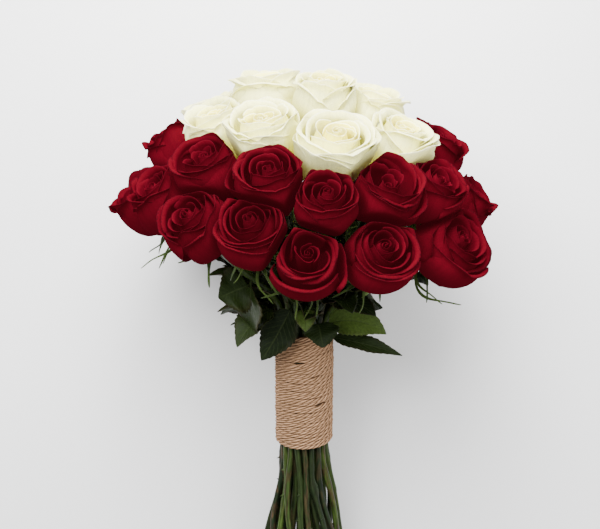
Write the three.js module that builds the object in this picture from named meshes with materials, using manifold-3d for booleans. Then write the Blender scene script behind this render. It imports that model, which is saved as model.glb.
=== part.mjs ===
// A hand-tied bunch of 36 cut roses: ten cream ones in the middle of the head, twenty-six deep red
// ones round them, their green stems, sepals and leaves, and a wrap of jute twine that holds the stems.
// The bunch has no vase, so it lies on its side: on two red blooms at the back and on the cut stem ends.
// Lengths are millimetres. The bunch is first made upright, x to the right, y to the back and z from the
// cut ends to the blooms, and then laid down with +z up, the blooms towards +y and the front on top.

import * as THREE from "three";
import { mergeVertices } from "three/addons/utils/BufferGeometryUtils.js";
import Module from "manifold-3d";

// ---- Driving dimensions ----

// The dome that the middles of the blooms lie on.
const domeHalfWidth = 131;
const domeRise = 101;
const domeLevel = 340; // its widest level above the cut ends
const uprightShare = 0.64; // how far a bloom tips out, as a share of the dome's own slope

// A bloom, measured along its axis from the hip to the tip.
const bloomHalfLength = 25;
const redRadius = 28.5;
const whiteRadius = 31.5;
const petalSectors = 11;
const halfBloomGap = 0.35; // each bloom keeps this far inside its share of the space
const squeezeStart = 0.8; // share of the way to a neighbour from which petals press together

// The stems, in three rings inside the wrap.
const stemRadius = 2.7;
const stemSides = 5;
const bundleRings = [
  { count: 6, radius: 6.2, turn: 0.2 },
  { count: 12, radius: 12.05, turn: 0.5 },
  { count: 18, radius: 18.05, turn: 0.1 },
];
const outerRingStart = bundleRings[0].count + bundleRings[1].count;
const splayAtEnds = 1.0; // how much wider the bundle is at the cut ends than in the wrap
const twistAtEnds = 0.5; // radians that the bundle turns between the wrap and the cut ends
const unevenEnds = 7;

// The hip and its sepals.
const hipRadius = 4.6;
const hipLength = 9;
const gapUnderBloom = 0.35;
const sepalsPerHip = 5;
const sepalsInTheMiddle = 3; // the cream blooms hide theirs
const sepalHalfWidth = 2.3;
const sepalHalfThick = 1.3;
const sepalLength = 26;

// A leaf's stalk and blade.
const stalkLength = 9;
const stalkHalfWidth = 1;
const bladeStations = 10;
const ribHalfThick = 0.7;

// The twine wrap.
const wrapBottom = 144;
const wrapTop = 242;
const wrapBore = 21.5;
const wrapRidge = 25;
const wrapGroove = 23.9;
const twinePitch = 3.3;
const wrapSides = 12;

// The flat spots that the bunch rests on are this deep.
const restDepth = 1.7;

// Seats of the blooms on the dome: degrees from the top of the dome, degrees round it from the front
// (positive to the right), the share of its usual radius that the bloom has opened to, and, where a
// bloom stands above the dome, by how much.
const redSeats = [
  [80, 2, 1.06], [69, -17, 1.04], [80, 27, 1.06], [86, 61, 1.2], [71, -40, 1.06], [67, -65, 1.02],
  [78, -89, 0.98], [48, -14, 1.1], [57, 9, 1.0], [55, 35, 1.08], [61, 59, 1.0], [53, 92, 0.98],
  [48, -48, 1.06], [57, -108, 0.98], [79, 88, 1.0], [88, 115, 1.0], [90, 140, 1.04], [90, 166, 1.06],
  [90, -166, 1.06], [90, -140, 1.04], [88, -115, 1.0], [60, 117, 1.0], [63, 144, 1.0], [64, 171, 1.0],
  [64, -162, 1.0], [62, -135, 1.0],
];
const whiteSeats = [
  [33, 19, 1.24], [26, -33, 1.08], [33, -77, 0.95], [38, 66, 1.08], [21, -140, 1.08, 6], [7, 100, 0.9, 7],
  [27, 115, 1.0], [38, 152, 0.98], [41, -168, 0.98], [42, -122, 1.0],
];

// Leaves: height on the stem, degrees round the bunch from the front, length, widest half width,
// degrees that the leaf points up from level at its stalk, degrees that it bends down to its tip, and
// degrees that it is turned about its own rib, so that its face shows.
const leaves = [
  [276, -25, 50, 18, -6, 74, -16], [252, 64, 54, 17, 18, 24, 42], [243, 86, 58, 11, -8, 30, 36],
  [316, -50, 58, 20, -40, 60, -40], [280, -42, 44, 15, -20, 50, -10], [264, 12, 34, 9, 6, 60, 0],
  [262, 26, 30, 11, -20, 50, 10], [284, 50, 46, 13, 15, 40, 20], [264, -108, 50, 15, 4, 46, -20],
  [292, 98, 48, 14, 8, 40, 30], [268, 122, 50, 14, 0, 42, 20], [288, -130, 48, 14, 8, 44, -14],
  [260, -152, 48, 13, 0, 30, 0], [284, 142, 44, 11, 4, 34, 0], [262, 166, 46, 13, 0, 30, 0],
  [290, -172, 44, 12, 8, 30, 0], [312, -20, 44, 15, 40, 40, 0], [300, 12, 42, 14, 34, 40, 0],
  [292, 70, 44, 14, 10, 40, 20], [316, -44, 42, 14, 42, 36, -10], [298, 20, 40, 12, 18, 40, 0],
];

const colours = {
  red: { color: 0x8e0a14, roughness: 0.6, metalness: 0 },
  white: { color: 0xf4efd8, roughness: 0.6, metalness: 0 },
  green: { color: 0x34492a, roughness: 0.6, metalness: 0 },
  twine: { color: 0xb08d68, roughness: 0.9, metalness: 0 },
};

const wasm = await Module();
wasm.setup();

// ---- Small helpers ----

const radians = (degrees) => (degrees * Math.PI) / 180;

// The same draws every time, in the range 0 to 1.
function seeded(seed) {
  let state = seed * 7919 + 17;
  return () => {
    state = (state * 1664525 + 1013904223) % 4294967296;
    return state / 4294967296;
  };
}

// A closed solid for joining and cutting.
function solidOf(geometry) {
  const bare = geometry.clone();
  bare.deleteAttribute("normal");
  bare.deleteAttribute("uv");
  const merged = mergeVertices(bare, 1e-3);
  return new wasm.Manifold(
    new wasm.Mesh({
      numProp: 3,
      vertProperties: Float32Array.from(merged.attributes.position.array),
      triVerts: Uint32Array.from(merged.index.array),
    }),
  );
}

function geometryOf(solid) {
  const mesh = solid.getMesh();
  const geometry = new THREE.BufferGeometry();
  const points = new THREE.BufferAttribute(Float32Array.from(mesh.vertProperties), 3);
  geometry.setAttribute("position", points);
  geometry.setIndex(new THREE.BufferAttribute(Uint32Array.from(mesh.triVerts), 1));
  return geometry;
}

// Moves every point of a geometry by a rule.
function reshaped(geometry, rule) {
  const points = geometry.attributes.position;
  const point = new THREE.Vector3();
  for (let i = 0; i < points.count; i += 1) {
    point.fromBufferAttribute(points, i);
    const moved = rule(point);
    points.setXYZ(i, moved.x, moved.y, moved.z);
  }
  return geometry;
}

// Bends a closed upright cylinder or cone of unit radius and height along a row of places, one for each
// of its levels: a place has its middle, its two cross directions and its two half sizes.
function bent(upright, places) {
  const last = places.length - 1;
  return reshaped(upright, (point) => {
    const place = places[Math.round((point.y + 0.5) * last)];
    const moved = place.middle.clone();
    moved.addScaledVector(place.side, point.x * place.halfWidth);
    moved.addScaledVector(place.face, point.z * place.halfThick);
    return moved;
  });
}

// Cross directions along a line of points, turned as little as possible from one to the next.
function steadyFrames(points, firstSide) {
  const frames = [];
  let side = firstSide.clone();
  points.forEach((point, i) => {
    const before = points[Math.max(i - 1, 0)];
    const after = points[Math.min(i + 1, points.length - 1)];
    const along = after.clone().sub(before).normalize();
    side.addScaledVector(along, -side.dot(along)).normalize();
    const face = side.clone().cross(along).normalize();
    frames.push({ along, side: side.clone(), face });
  });
  return frames;
}

// ---- Where each rose sits ----

function seatOf([polar, azimuth, open, raised = 0], colour) {
  const down = radians(polar);
  const round = radians(azimuth);
  const outward = new THREE.Vector3(Math.sin(round), -Math.cos(round), 0);
  const middle = outward.clone().multiplyScalar(domeHalfWidth * Math.sin(down));
  middle.z = domeLevel + domeRise * Math.cos(down) + raised;
  const slope = Math.atan2(Math.sin(down) / domeHalfWidth, Math.cos(down) / domeRise);
  const tip = slope * uprightShare;
  const axis = outward.clone().multiplyScalar(Math.sin(tip));
  axis.z = Math.cos(tip);
  const usual = colour === "red" ? redRadius : whiteRadius;
  const base = middle.clone().addScaledVector(axis, -bloomHalfLength);
  return { colour, middle, axis, base, radius: usual * open };
}

const roses = [
  ...redSeats.map((seat) => seatOf(seat, "red")),
  ...whiteSeats.map((seat) => seatOf(seat, "white")),
];

// Petals of neighbours press against each other: near the plane that parts two blooms, nearer to the
// smaller one, a point is held back more and more, and never reaches it.
function pressed(point, rose) {
  const held = point.clone();
  for (let pass = 0; pass < 3; pass += 1) {
    for (const other of roses) {
      if (other === rose) continue;
      const towards = other.middle.clone().sub(rose.middle);
      const share = rose.radius / (rose.radius + other.radius);
      const half = towards.length() * share - halfBloomGap;
      if (half > 60) continue;
      towards.normalize();
      const reach = held.clone().sub(rose.middle).dot(towards);
      const free = half * squeezeStart;
      if (reach <= free) continue;
      const room = half - free;
      const kept = free + room * (1 - Math.exp(-(reach - free) / room));
      held.addScaledVector(towards, kept - reach);
    }
  }
  return held;
}

// ---- Blooms ----

// Outline of a bloom from its base to its middle, as distance from the axis and height: the outer petals
// rise and roll outwards at their rim, and two more layers and the closed heart stand inside them.
const bloomOutline = [
  { r: 0, h: 0, layer: -1 },
  { r: 6, h: 0, layer: -1 },
  { r: 22, h: 9, layer: 0 },
  { r: 28.5, h: 26, layer: 0 },
  { r: 29.5, h: 42, layer: 0 },
  { r: 24, h: 36, layer: 1 },
  { r: 21.5, h: 47, layer: 1 },
  { r: 16, h: 39, layer: 2 },
  { r: 13.5, h: 48, layer: 2 },
  { r: 8.5, h: 41, layer: 3 },
  { r: 5.5, h: 46.5, layer: 3 },
  { r: 0, h: 43, layer: -1 },
];
const petalsInLayer = [4, 3, 3, 2];

function bloom(rose, number) {
  const draw = seeded(number + 101);
  const turns = petalsInLayer.map(() => draw() * Math.PI * 2);
  const opened = rose.radius / redRadius;
  const profile = bloomOutline.map((p) => new THREE.Vector2(p.r, p.h));
  const lathe = new THREE.LatheGeometry(profile, petalSectors);
  const side = new THREE.Vector3(0, 0, 1).cross(rose.axis);
  if (side.length() < 0.05) side.set(1, 0, 0);
  side.normalize();
  const face = side.clone().cross(rose.axis);
  const spin = draw() * Math.PI * 2;
  return reshaped(lathe, (point) => {
    const r = Math.hypot(point.x, point.z);
    const level = bloomOutline.find((p) => Math.abs(p.r - r) < 0.01 && Math.abs(p.h - point.y) < 0.01);
    const round = Math.atan2(point.z, point.x);
    let wide = r * opened;
    let high = point.y;
    if (level.layer >= 0) {
      // Each petal starts under its neighbour and ends over it, and its rim is highest in its middle.
      const petals = petalsInLayer[level.layer];
      const turned = ((round + turns[level.layer]) / (Math.PI * 2)) * petals;
      const across = turned - Math.floor(turned);
      const upper = point.y / 50;
      wide += (across - 0.5) * 3.4 * upper;
      high += (Math.sin(across * Math.PI) - 0.6) * 3 * upper * upper;
    }
    const angle = round + spin;
    const made = rose.base.clone().addScaledVector(rose.axis, high);
    made.addScaledVector(side, wide * Math.cos(angle));
    made.addScaledVector(face, wide * Math.sin(angle));
    return pressed(made, rose);
  });
}

// ---- Stems ----

// Places of the stems in the wrap, ring by ring.
const bundle = bundleRings.flatMap((ring) =>
  Array.from({ length: ring.count }, (_, i) => {
    const round = ((i + ring.turn) / ring.count) * Math.PI * 2;
    return new THREE.Vector2(Math.sin(round) * ring.radius, -Math.cos(round) * ring.radius);
  }),
);

// Each place gets the rose that lies the same way from the middle, so that no two stems cross: places
// are exchanged for as long as an exchange brings stems and roses more in line.
function rosesForPlaces() {
  const chosen = roses.map((_, i) => i);
  const flat = roses.map((rose) => new THREE.Vector2(rose.base.x, rose.base.y));
  let better = true;
  while (better) {
    better = false;
    for (let a = 0; a < chosen.length; a += 1) {
      for (let b = a + 1; b < chosen.length; b += 1) {
        const apart = bundle[a].clone().sub(bundle[b]);
        const wanted = flat[chosen[a]].clone().sub(flat[chosen[b]]);
        if (apart.dot(wanted) < -1e-6) {
          [chosen[a], chosen[b]] = [chosen[b], chosen[a]];
          better = true;
        }
      }
    }
  }
  return chosen;
}

// Level share of the way from the wrap down to the cut ends, where the stems splay and turn.
function belowWrap(place, height, sway) {
  const down = THREE.MathUtils.clamp((wrapBottom - height) / wrapBottom, 0, 1);
  const eased = down * down * (3 - 2 * down) * 0.5 + down * 0.5;
  const spot = place.clone().multiplyScalar(1 + splayAtEnds * eased);
  spot.rotateAround(new THREE.Vector2(0, 0), twistAtEnds * eased);
  spot.addScaledVector(sway, eased);
  return new THREE.Vector3(spot.x, spot.y, height);
}

function stem(place, rose, number) {
  const draw = seeded(number + 301);
  const sway = new THREE.Vector2(draw() - 0.5, draw() - 0.5).multiplyScalar(3);
  const cut = draw() * unevenEnds;
  const hipEnd = rose.base.clone().addScaledVector(rose.axis, -gapUnderBloom);
  const hipStart = hipEnd.clone().addScaledVector(rose.axis, -hipLength);
  const leaving = new THREE.Vector3(place.x, place.y, wrapTop + 4);
  const span = hipStart.distanceTo(leaving);
  const curve = new THREE.CubicBezierCurve3(
    leaving,
    leaving.clone().add(new THREE.Vector3(0, 0, span * 0.34)),
    hipStart.clone().addScaledVector(rose.axis, -span * 0.36),
    hipStart,
  );
  const rows = [
    { at: belowWrap(place, cut, sway), radius: stemRadius },
    { at: belowWrap(place, 72, sway), radius: stemRadius },
    { at: belowWrap(place, wrapBottom - 2, sway), radius: stemRadius },
    { at: leaving, radius: stemRadius },
    { at: curve.getPoint(0.36), radius: stemRadius },
    { at: curve.getPoint(0.7), radius: stemRadius * 0.9 },
    { at: hipStart, radius: stemRadius * 0.95 },
    { at: hipStart.clone().lerp(hipEnd, 0.5), radius: hipRadius },
    { at: hipEnd, radius: hipRadius * 0.86 },
  ];
  const outward = new THREE.Vector3(place.x, place.y, 0).normalize();
  const frames = steadyFrames(rows.map((row) => row.at), outward);
  const places = rows.map((row, i) => ({
    middle: row.at,
    side: frames[i].side,
    face: frames[i].face,
    halfWidth: row.radius,
    halfThick: row.radius,
  }));
  const upright = new THREE.CylinderGeometry(1, 1, 1, stemSides, rows.length - 1);
  upright.rotateY(Math.PI / 2);
  return { solid: solidOf(bent(upright, places)), curve, hipEnd, outward, hip: frames.at(-1) };
}

// Sepals: thin three-sided needles that leave the faces of the hip under the petals and droop outwards.
function sepals(rose, number, made) {
  const draw = seeded(number + 504);
  const count = rose.colour === "red" ? sepalsPerHip : sepalsInTheMiddle;
  return Array.from({ length: count }, (_, i) => {
    const round = ((i + 0.5) / sepalsPerHip) * Math.PI * 2;
    const away = made.hip.side.clone().multiplyScalar(Math.cos(round));
    away.addScaledVector(made.hip.face, -Math.sin(round));
    const droop = 0.24 + draw() * 0.28;
    const along = away.clone().addScaledVector(rose.axis, -droop).normalize();
    const root = made.hipEnd.clone().addScaledVector(rose.axis, -2.6 + droop * 2.7);
    root.addScaledVector(away, 1.5);
    const full = root.clone().addScaledVector(along, sepalLength * (0.8 + draw() * 0.45));
    const tip = pressed(full, rose);
    const frames = steadyFrames([root, tip], away.clone().cross(rose.axis));
    const places = [root, tip].map((middle, k) => ({
      middle,
      side: frames[k].side,
      face: frames[k].face,
      halfWidth: sepalHalfWidth,
      halfThick: sepalHalfThick,
    }));
    return solidOf(bent(new THREE.ConeGeometry(1, 1, 3, 1), places));
  });
}

// A leaf is a stalk and a thin blade, thickest along its rib, folded up a little at both sides, with a
// row of teeth down each edge: every second half width of its outline is a notch.
function leaf([, azimuth, long, halfWidth, rise, bend, turn], number, start) {
  const draw = seeded(number + 701);
  const round = radians(azimuth + (draw() - 0.5) * 6);
  const outward = new THREE.Vector3(Math.sin(round), -Math.cos(round), 0);
  const level = new THREE.Vector3(Math.cos(round), Math.sin(round), 0);
  const phase = draw() * 2;
  const middle = start.clone();
  const rows = [];
  for (let i = 0; i <= bladeStations; i += 1) {
    const share = Math.max(i - 1, 0) / (bladeStations - 1);
    const angle = radians(rise - bend * share);
    const along = outward.clone().multiplyScalar(Math.cos(angle));
    along.z = Math.sin(angle);
    const side = level.clone().applyAxisAngle(along, i < 2 ? 0 : radians(turn));
    const upward = along.clone().cross(side);
    const full = Math.sin(Math.PI * share ** 0.7) ** 0.85;
    const toothed = i % 2 === 0 ? 1.08 : 0.92;
    const half = Math.max(halfWidth * full * toothed, i < 2 ? stalkHalfWidth : 0.5);
    const wave = Math.sin(share * 8 + phase) * 0.06 * half;
    rows.push({ middle: middle.clone(), side, upward, half, wave });
    middle.addScaledVector(along, i === 0 ? stalkLength : long / (bladeStations - 1));
  }
  const points = rows.flatMap((row) => {
    const fold = row.half * 0.2;
    const left = row.middle.clone().addScaledVector(row.side, -row.half);
    const right = row.middle.clone().addScaledVector(row.side, row.half);
    return [
      left.addScaledVector(row.upward, fold + row.wave),
      row.middle.clone().addScaledVector(row.upward, ribHalfThick),
      right.addScaledVector(row.upward, fold - row.wave),
      row.middle.clone().addScaledVector(row.upward, -ribHalfThick),
    ];
  });
  const faces = [];
  for (let i = 0; i < bladeStations; i += 1) {
    const [l, t, r, u] = [0, 1, 2, 3].map((k) => 4 * i + k);
    const [l2, t2, r2, u2] = [4, 5, 6, 7].map((k) => 4 * i + k);
    // Both faces are split along the same lines.
    faces.push(l, t2, t, l, l2, t2);
    faces.push(t, r2, r, t, t2, r2);
    faces.push(l, u, u2, l, u2, l2);
    faces.push(u, r, r2, u, r2, u2);
  }
  const end = 4 * bladeStations;
  faces.push(0, 1, 3, 1, 2, 3);
  faces.push(end, end + 3, end + 1, end + 1, end + 3, end + 2);
  const geometry = new THREE.BufferGeometry().setFromPoints(points);
  geometry.setIndex(faces);
  return solidOf(geometry);
}

// ---- The green parts, two roses to a piece ----

const chosen = rosesForPlaces();
const stems = bundle.map((place, i) => stem(place, roses[chosen[i]], chosen[i]));

// The outer stem whose direction is nearest to a leaf's carries it, on the stem's outer side.
function carrierOf([height, azimuth]) {
  const round = radians(azimuth);
  const outward = new THREE.Vector3(Math.sin(round), -Math.cos(round), 0);
  let best = outerRingStart;
  for (let i = outerRingStart; i < stems.length; i += 1) {
    if (stems[i].outward.dot(outward) > stems[best].outward.dot(outward)) best = i;
  }
  const curve = stems[best].curve;
  let share = 0;
  while (share < 1 && curve.getPoint(share).z < height) share += 0.02;
  return { index: best, start: curve.getPoint(share) };
}

const leavesOf = stems.map(() => []);
leaves.forEach((row, i) => {
  const carrier = carrierOf(row);
  leavesOf[carrier.index].push(leaf(row, i, carrier.start));
});

// A short green bridge, hidden inside the wrap, holds the two stems of a piece together.
function bridge(first, second) {
  const level = (wrapBottom + wrapTop) / 2;
  const from = new THREE.Vector3(first.x, first.y, level);
  const to = new THREE.Vector3(second.x, second.y, level);
  const rod = new THREE.CylinderGeometry(1.2, 1.2, from.distanceTo(to), 3);
  rod.applyQuaternion(
    new THREE.Quaternion().setFromUnitVectors(
      new THREE.Vector3(0, 1, 0),
      to.clone().sub(from).normalize(),
    ),
  );
  const middle = from.clone().lerp(to, 0.5);
  rod.translate(middle.x, middle.y, middle.z);
  return solidOf(rod);
}

const greens = [];
for (let i = 0; i < bundle.length; i += 2) {
  const pieces = [stems[i].solid, stems[i + 1].solid, bridge(bundle[i], bundle[i + 1])];
  for (const k of [i, i + 1]) {
    pieces.push(...sepals(roses[chosen[k]], chosen[k], stems[k]), ...leavesOf[k]);
  }
  greens.push(wasm.Manifold.union(pieces));
}

// ---- The twine wrap ----

// One cord wound in a helix: a ridge line and a groove line run round and up, half a turn's height apart.
function twineWrap() {
  const turns = Math.ceil((wrapTop - wrapBottom) / twinePitch) + 3;
  const count = turns * wrapSides;
  const bottom = wrapBottom - 1.5 * twinePitch;
  const at = (step, radius, rise) => {
    const round = (step / wrapSides) * Math.PI * 2;
    const height = bottom + (step / wrapSides + rise) * twinePitch;
    return new THREE.Vector3(Math.sin(round) * radius, -Math.cos(round) * radius, height);
  };
  const points = [];
  for (let i = 0; i <= count; i += 1) {
    points.push(at(i, wrapRidge, 0), at(i, wrapGroove, 0.5));
  }
  const ridge = (i) => 2 * i;
  const groove = (i) => 2 * i + 1;
  const faces = [];
  const quad = (a, b, c, d) => faces.push(a, b, c, a, c, d);
  for (let i = 0; i < count; i += 1) {
    quad(ridge(i), ridge(i + 1), groove(i + 1), groove(i));
    if (i + 1 + wrapSides <= count) {
      quad(groove(i), groove(i + 1), ridge(i + 1 + wrapSides), ridge(i + wrapSides));
    }
  }
  // Both ends are closed to the middle; they are cut off below.
  const low = points.length;
  points.push(new THREE.Vector3(0, 0, bottom - 5));
  const lowLoop = Array.from({ length: wrapSides + 1 }, (_, i) => ridge(i));
  lowLoop.push(groove(0));
  lowLoop.forEach((from, i) => faces.push(low, lowLoop[(i + 1) % lowLoop.length], from));
  const high = points.length;
  points.push(new THREE.Vector3(0, 0, bottom + (turns + 1) * twinePitch + 5));
  const start = count - wrapSides;
  const highLoop = Array.from({ length: wrapSides + 1 }, (_, i) => groove(start + i));
  highLoop.push(ridge(count));
  highLoop.forEach((from, i) => faces.push(high, from, highLoop[(i + 1) % highLoop.length]));
  const geometry = new THREE.BufferGeometry().setFromPoints(points);
  geometry.setIndex(faces);
  const bore = new THREE.CylinderGeometry(wrapBore, wrapBore, 400, 18);
  bore.rotateX(Math.PI / 2);
  bore.translate(0, 0, 200);
  const slab = new THREE.BoxGeometry(100, 100, wrapTop - wrapBottom);
  slab.translate(0, 0, (wrapTop + wrapBottom) / 2);
  return solidOf(geometry).intersect(solidOf(slab)).subtract(solidOf(bore));
}

// ---- All the pieces, upright ----

const pieces = [];
let redCount = 0;
let whiteCount = 0;
const twoDigits = (number) => String(number).padStart(2, "0");
roses.forEach((rose, i) => {
  if (rose.colour === "red") redCount += 1;
  else whiteCount += 1;
  const number = twoDigits(rose.colour === "red" ? redCount : whiteCount);
  pieces.push({ name: `${rose.colour}_rose_${number}`, solid: solidOf(bloom(rose, i)), look: rose.colour });
});
greens.forEach((solid, i) => {
  pieces.push({ name: `stems_and_leaves_${twoDigits(i + 1)}`, solid, look: "green" });
});
pieces.push({ name: "twine_wrap", solid: twineWrap(), look: "twine" });

// ---- Laying the bunch down ----

// The whole bunch is tipped back and rolled a little, until the lowest points of its head, left and
// right, and of its stem ends are level.
function lying(tilt, roll) {
  const down = new THREE.Matrix4().makeBasis(
    new THREE.Vector3(1, 0, 0),
    new THREE.Vector3(0, Math.sin(tilt), -Math.cos(tilt)),
    new THREE.Vector3(0, Math.cos(tilt), Math.sin(tilt)),
  );
  return down.multiply(new THREE.Matrix4().makeRotationZ(roll));
}

const cloud = pieces.flatMap((piece) => {
  const points = geometryOf(piece.solid).attributes.position;
  return Array.from({ length: points.count }, (_, i) =>
    new THREE.Vector3().fromBufferAttribute(points, i),
  );
});

let tilt = radians(21);
let roll = 0;
for (let round = 0; round < 60; round += 1) {
  const matrix = lying(tilt, roll);
  const low = { left: Infinity, right: Infinity, ends: Infinity };
  for (const point of cloud) {
    const height = point.clone().applyMatrix4(matrix).z;
    const where = point.z < 60 ? "ends" : point.x < 0 ? "left" : "right";
    low[where] = Math.min(low[where], height);
  }
  const head = Math.min(low.left, low.right);
  tilt -= ((head - low.ends) / 360) * 0.7;
  roll += ((low.right - low.left) / 100) * 0.4;
}

const laid = pieces.map((piece) => ({
  ...piece,
  solid: piece.solid.transform(lying(tilt, roll).elements),
}));

// The origin is under the middle of the bunch, on the surface it lies on, and what would reach under
// that surface is pressed flat.
const box = new THREE.Box3();
for (const piece of laid) {
  const { min, max } = piece.solid.boundingBox();
  box.expandByPoint(new THREE.Vector3(...min));
  box.expandByPoint(new THREE.Vector3(...max));
}
const middle = box.getCenter(new THREE.Vector3());
const lift = -box.min.z - restDepth;
const under = solidOf(new THREE.BoxGeometry(2000, 2000, 200)).translate([0, 0, -100]);

const group = new THREE.Group();
group.name = "bunch_of_roses";
for (const piece of laid) {
  let solid = piece.solid.translate([-middle.x, -middle.y, lift]);
  if (solid.boundingBox().min[2] < 0) solid = solid.subtract(under);
  const mesh = new THREE.Mesh(geometryOf(solid), new THREE.MeshStandardMaterial(colours[piece.look]));
  mesh.name = piece.name;
  group.add(mesh);
}

export default group;
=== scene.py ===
# %% [markdown]
# # A hand-tied bunch of roses, lying on its side
#
# The real thing is thirty-six cut roses: ten cream ones in the middle of the head and twenty-six deep
# red ones round them. A florist held the stems in one fist, so they cross in a tight bundle, and wound
# jute twine round that bundle. There is no vase, so the bunch lies on a pale table, on two red blooms at
# its back and on the cut ends of its stems, and the camera looks straight down on it.
#
# The packed frame holds one plain solid for each bloom, for each pair of stems and for the twine. Here
# every one of those is replaced by finer pieces that keep its place and its size: separate petals,
# smooth stems with thorns, toothed leaves, and a cord of three twisted plies.

# %% Load the frame
import math

import bpy
import numpy as np
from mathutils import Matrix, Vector


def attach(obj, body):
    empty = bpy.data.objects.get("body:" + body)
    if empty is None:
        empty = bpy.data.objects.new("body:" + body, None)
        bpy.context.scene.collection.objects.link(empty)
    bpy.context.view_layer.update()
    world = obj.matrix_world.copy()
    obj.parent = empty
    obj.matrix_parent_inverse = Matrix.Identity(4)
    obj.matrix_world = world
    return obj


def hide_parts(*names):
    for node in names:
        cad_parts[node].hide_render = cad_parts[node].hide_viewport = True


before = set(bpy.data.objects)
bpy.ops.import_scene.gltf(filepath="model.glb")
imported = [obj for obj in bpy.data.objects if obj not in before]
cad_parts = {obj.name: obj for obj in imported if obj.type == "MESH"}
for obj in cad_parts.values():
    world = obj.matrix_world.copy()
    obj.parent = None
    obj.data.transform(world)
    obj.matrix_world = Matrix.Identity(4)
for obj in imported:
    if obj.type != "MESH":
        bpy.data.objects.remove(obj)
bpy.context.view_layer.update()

# %% [markdown]
# ## The measurements
#
# Everything is first worked out upright and in millimetres, as the frame's own source does it: x to the
# right, y to the back, z from the cut ends to the blooms. Only then is it laid down and turned into
# metres. Keeping the same names and numbers as the frame means that a petal or a leaf lands where the
# solid that it replaces is.

# %% Measurements of the bunch
MM_PER_METRE = 1000.0

# The dome of blooms.
DOME_HALF_WIDTH = 131
DOME_RISE = 101
DOME_LEVEL = 340
UPRIGHT_SHARE = 0.64

# One bloom, and how neighbours press on each other.
BLOOM_HALF_LENGTH = 25
RED_RADIUS = 28.5
WHITE_RADIUS = 31.5
HALF_BLOOM_GAP = 0.35
SQUEEZE_START = 0.8

# The stems: for each ring of the bundle how many there are, its radius, and how far it is turned.
STEM_RADIUS = 2.7
BUNDLE_RINGS = ((6, 6.2, 0.2), (12, 12.05, 0.5), (18, 18.05, 0.1))
OUTER_RING_START = 18
SPLAY_AT_ENDS = 1.0
TWIST_AT_ENDS = 0.5
UNEVEN_ENDS = 7

# The hip and the sepals under each bloom.
HIP_RADIUS = 4.6
HIP_LENGTH = 9
GAP_UNDER_BLOOM = 0.35
SEPALS = 5
SEPAL_LENGTH = 27

# The twine, with the height of its lowest and highest turns above the cut ends.
WRAP_BOTTOM = 144
WRAP_TOP = 242
WRAP_RIDGE = 25
TWINE_PITCH = 3.3

# How the bunch lies: tipped back by TILT, rolled by ROLL, then moved over the middle of the table.
TILT = math.radians(20.4165)
ROLL = math.radians(-1.0179)
MIDDLE = (0.661, 221.105)
LIFT = 33.286
CLEAR_OF_TABLE = 0.12
print("stems in the bundle:", sum(count for count, _, _ in BUNDLE_RINGS))

# %% [markdown]
# Each seat is a place on the dome of the head: degrees down from its top, degrees round it from the
# front, how far the bloom has opened as a share of the usual radius, and, for two blooms that stand
# proud of the others, by how much.

# %% Seats of the blooms
RED_SEATS = (
    (80, 2, 1.06), (69, -17, 1.04), (80, 27, 1.06), (86, 61, 1.2), (71, -40, 1.06), (67, -65, 1.02),
    (78, -89, 0.98), (48, -14, 1.1), (57, 9, 1.0), (55, 35, 1.08), (61, 59, 1.0), (53, 92, 0.98),
    (48, -48, 1.06), (57, -108, 0.98), (79, 88, 1.0), (88, 115, 1.0), (90, 140, 1.04), (90, 166, 1.06),
    (90, -166, 1.06), (90, -140, 1.04), (88, -115, 1.0), (60, 117, 1.0), (63, 144, 1.0), (64, 171, 1.0),
    (64, -162, 1.0), (62, -135, 1.0),
)
WHITE_SEATS = (
    (33, 19, 1.24), (26, -33, 1.08), (33, -77, 0.95), (38, 66, 1.08), (21, -140, 1.08, 6),
    (7, 100, 0.9, 7), (27, 115, 1.0), (38, 152, 0.98), (41, -168, 0.98), (42, -122, 1.0),
)
print("seats:", len(RED_SEATS), "red and", len(WHITE_SEATS), "cream")

# %% [markdown]
# A leaf leaves its stem at a height and in a direction round the bunch, and swings out of that direction
# by some degrees. Then come its length and its half width. The last three are degrees: how far it points
# up from level, how far it bends down towards its tip, and how far it is turned about its own rib. The
# first leaves show at the front of the neck, and the others stand at its sides and its back.

# %% Places of the larger leaves
LEAVES = (
    (282, -18, -54, 49, 16, -64, -10, -53), (255, 45, 40, 51, 14, 20, 60, 51),
    (246, 64, 19, 60, 8, -7, 11, 38), (306, -60, -7, 26, 20, -16, 0, -66),
    (314, -55, 61, 46, 19, -80, 60, 59), (288, 2, 0, 20, 9, -20, 50, 0),
    (268, 16, 0, 22, 15, -20, 50, 0), (322, 62, -146, 36, 5, -30, 10, 50),
    (320, 64, 20, 14, 6, -30, 20, 30), (276, -60, 10, 44, 15, -10, 50, -10),
    (284, 50, 0, 46, 13, 15, 40, 20), (264, -108, 0, 50, 15, 4, 46, -20),
    (292, 98, 0, 48, 14, 8, 40, 30), (268, 122, 0, 50, 14, 0, 42, 20),
    (288, -130, 0, 48, 14, 8, 44, -14), (260, -152, 0, 48, 13, 0, 30, 0),
    (284, 142, 0, 44, 11, 4, 34, 0), (262, 166, 0, 46, 13, 0, 30, 0), (290, -172, 0, 44, 12, 8, 30, 0),
    (312, -20, 0, 44, 15, 40, 40, 0), (300, 12, 0, 42, 14, 34, 40, 0),
    (316, -44, 0, 42, 14, 42, 36, -10), (298, 20, 0, 40, 12, 18, 40, 0),
    (330, 75, -120, 34, 14, 40, 20, 35),
)
print("larger leaves:", len(LEAVES))

# %% [markdown]
# ## Small tools
#
# `seeded` gives the same draws as the frame's source does, so both cut a stem at the same height.
# `lay_down`, in the third cell from here, is the one place where upright millimetres become the table's
# metres. Nothing may go through the table, so what would reach under it is pressed flat on it.

# %% Draws
def seeded(seed):
    state = seed * 7919 + 17
    while True:
        state = (state * 1664525 + 1013904223) % 4294967296
        yield state / 4294967296


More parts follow.
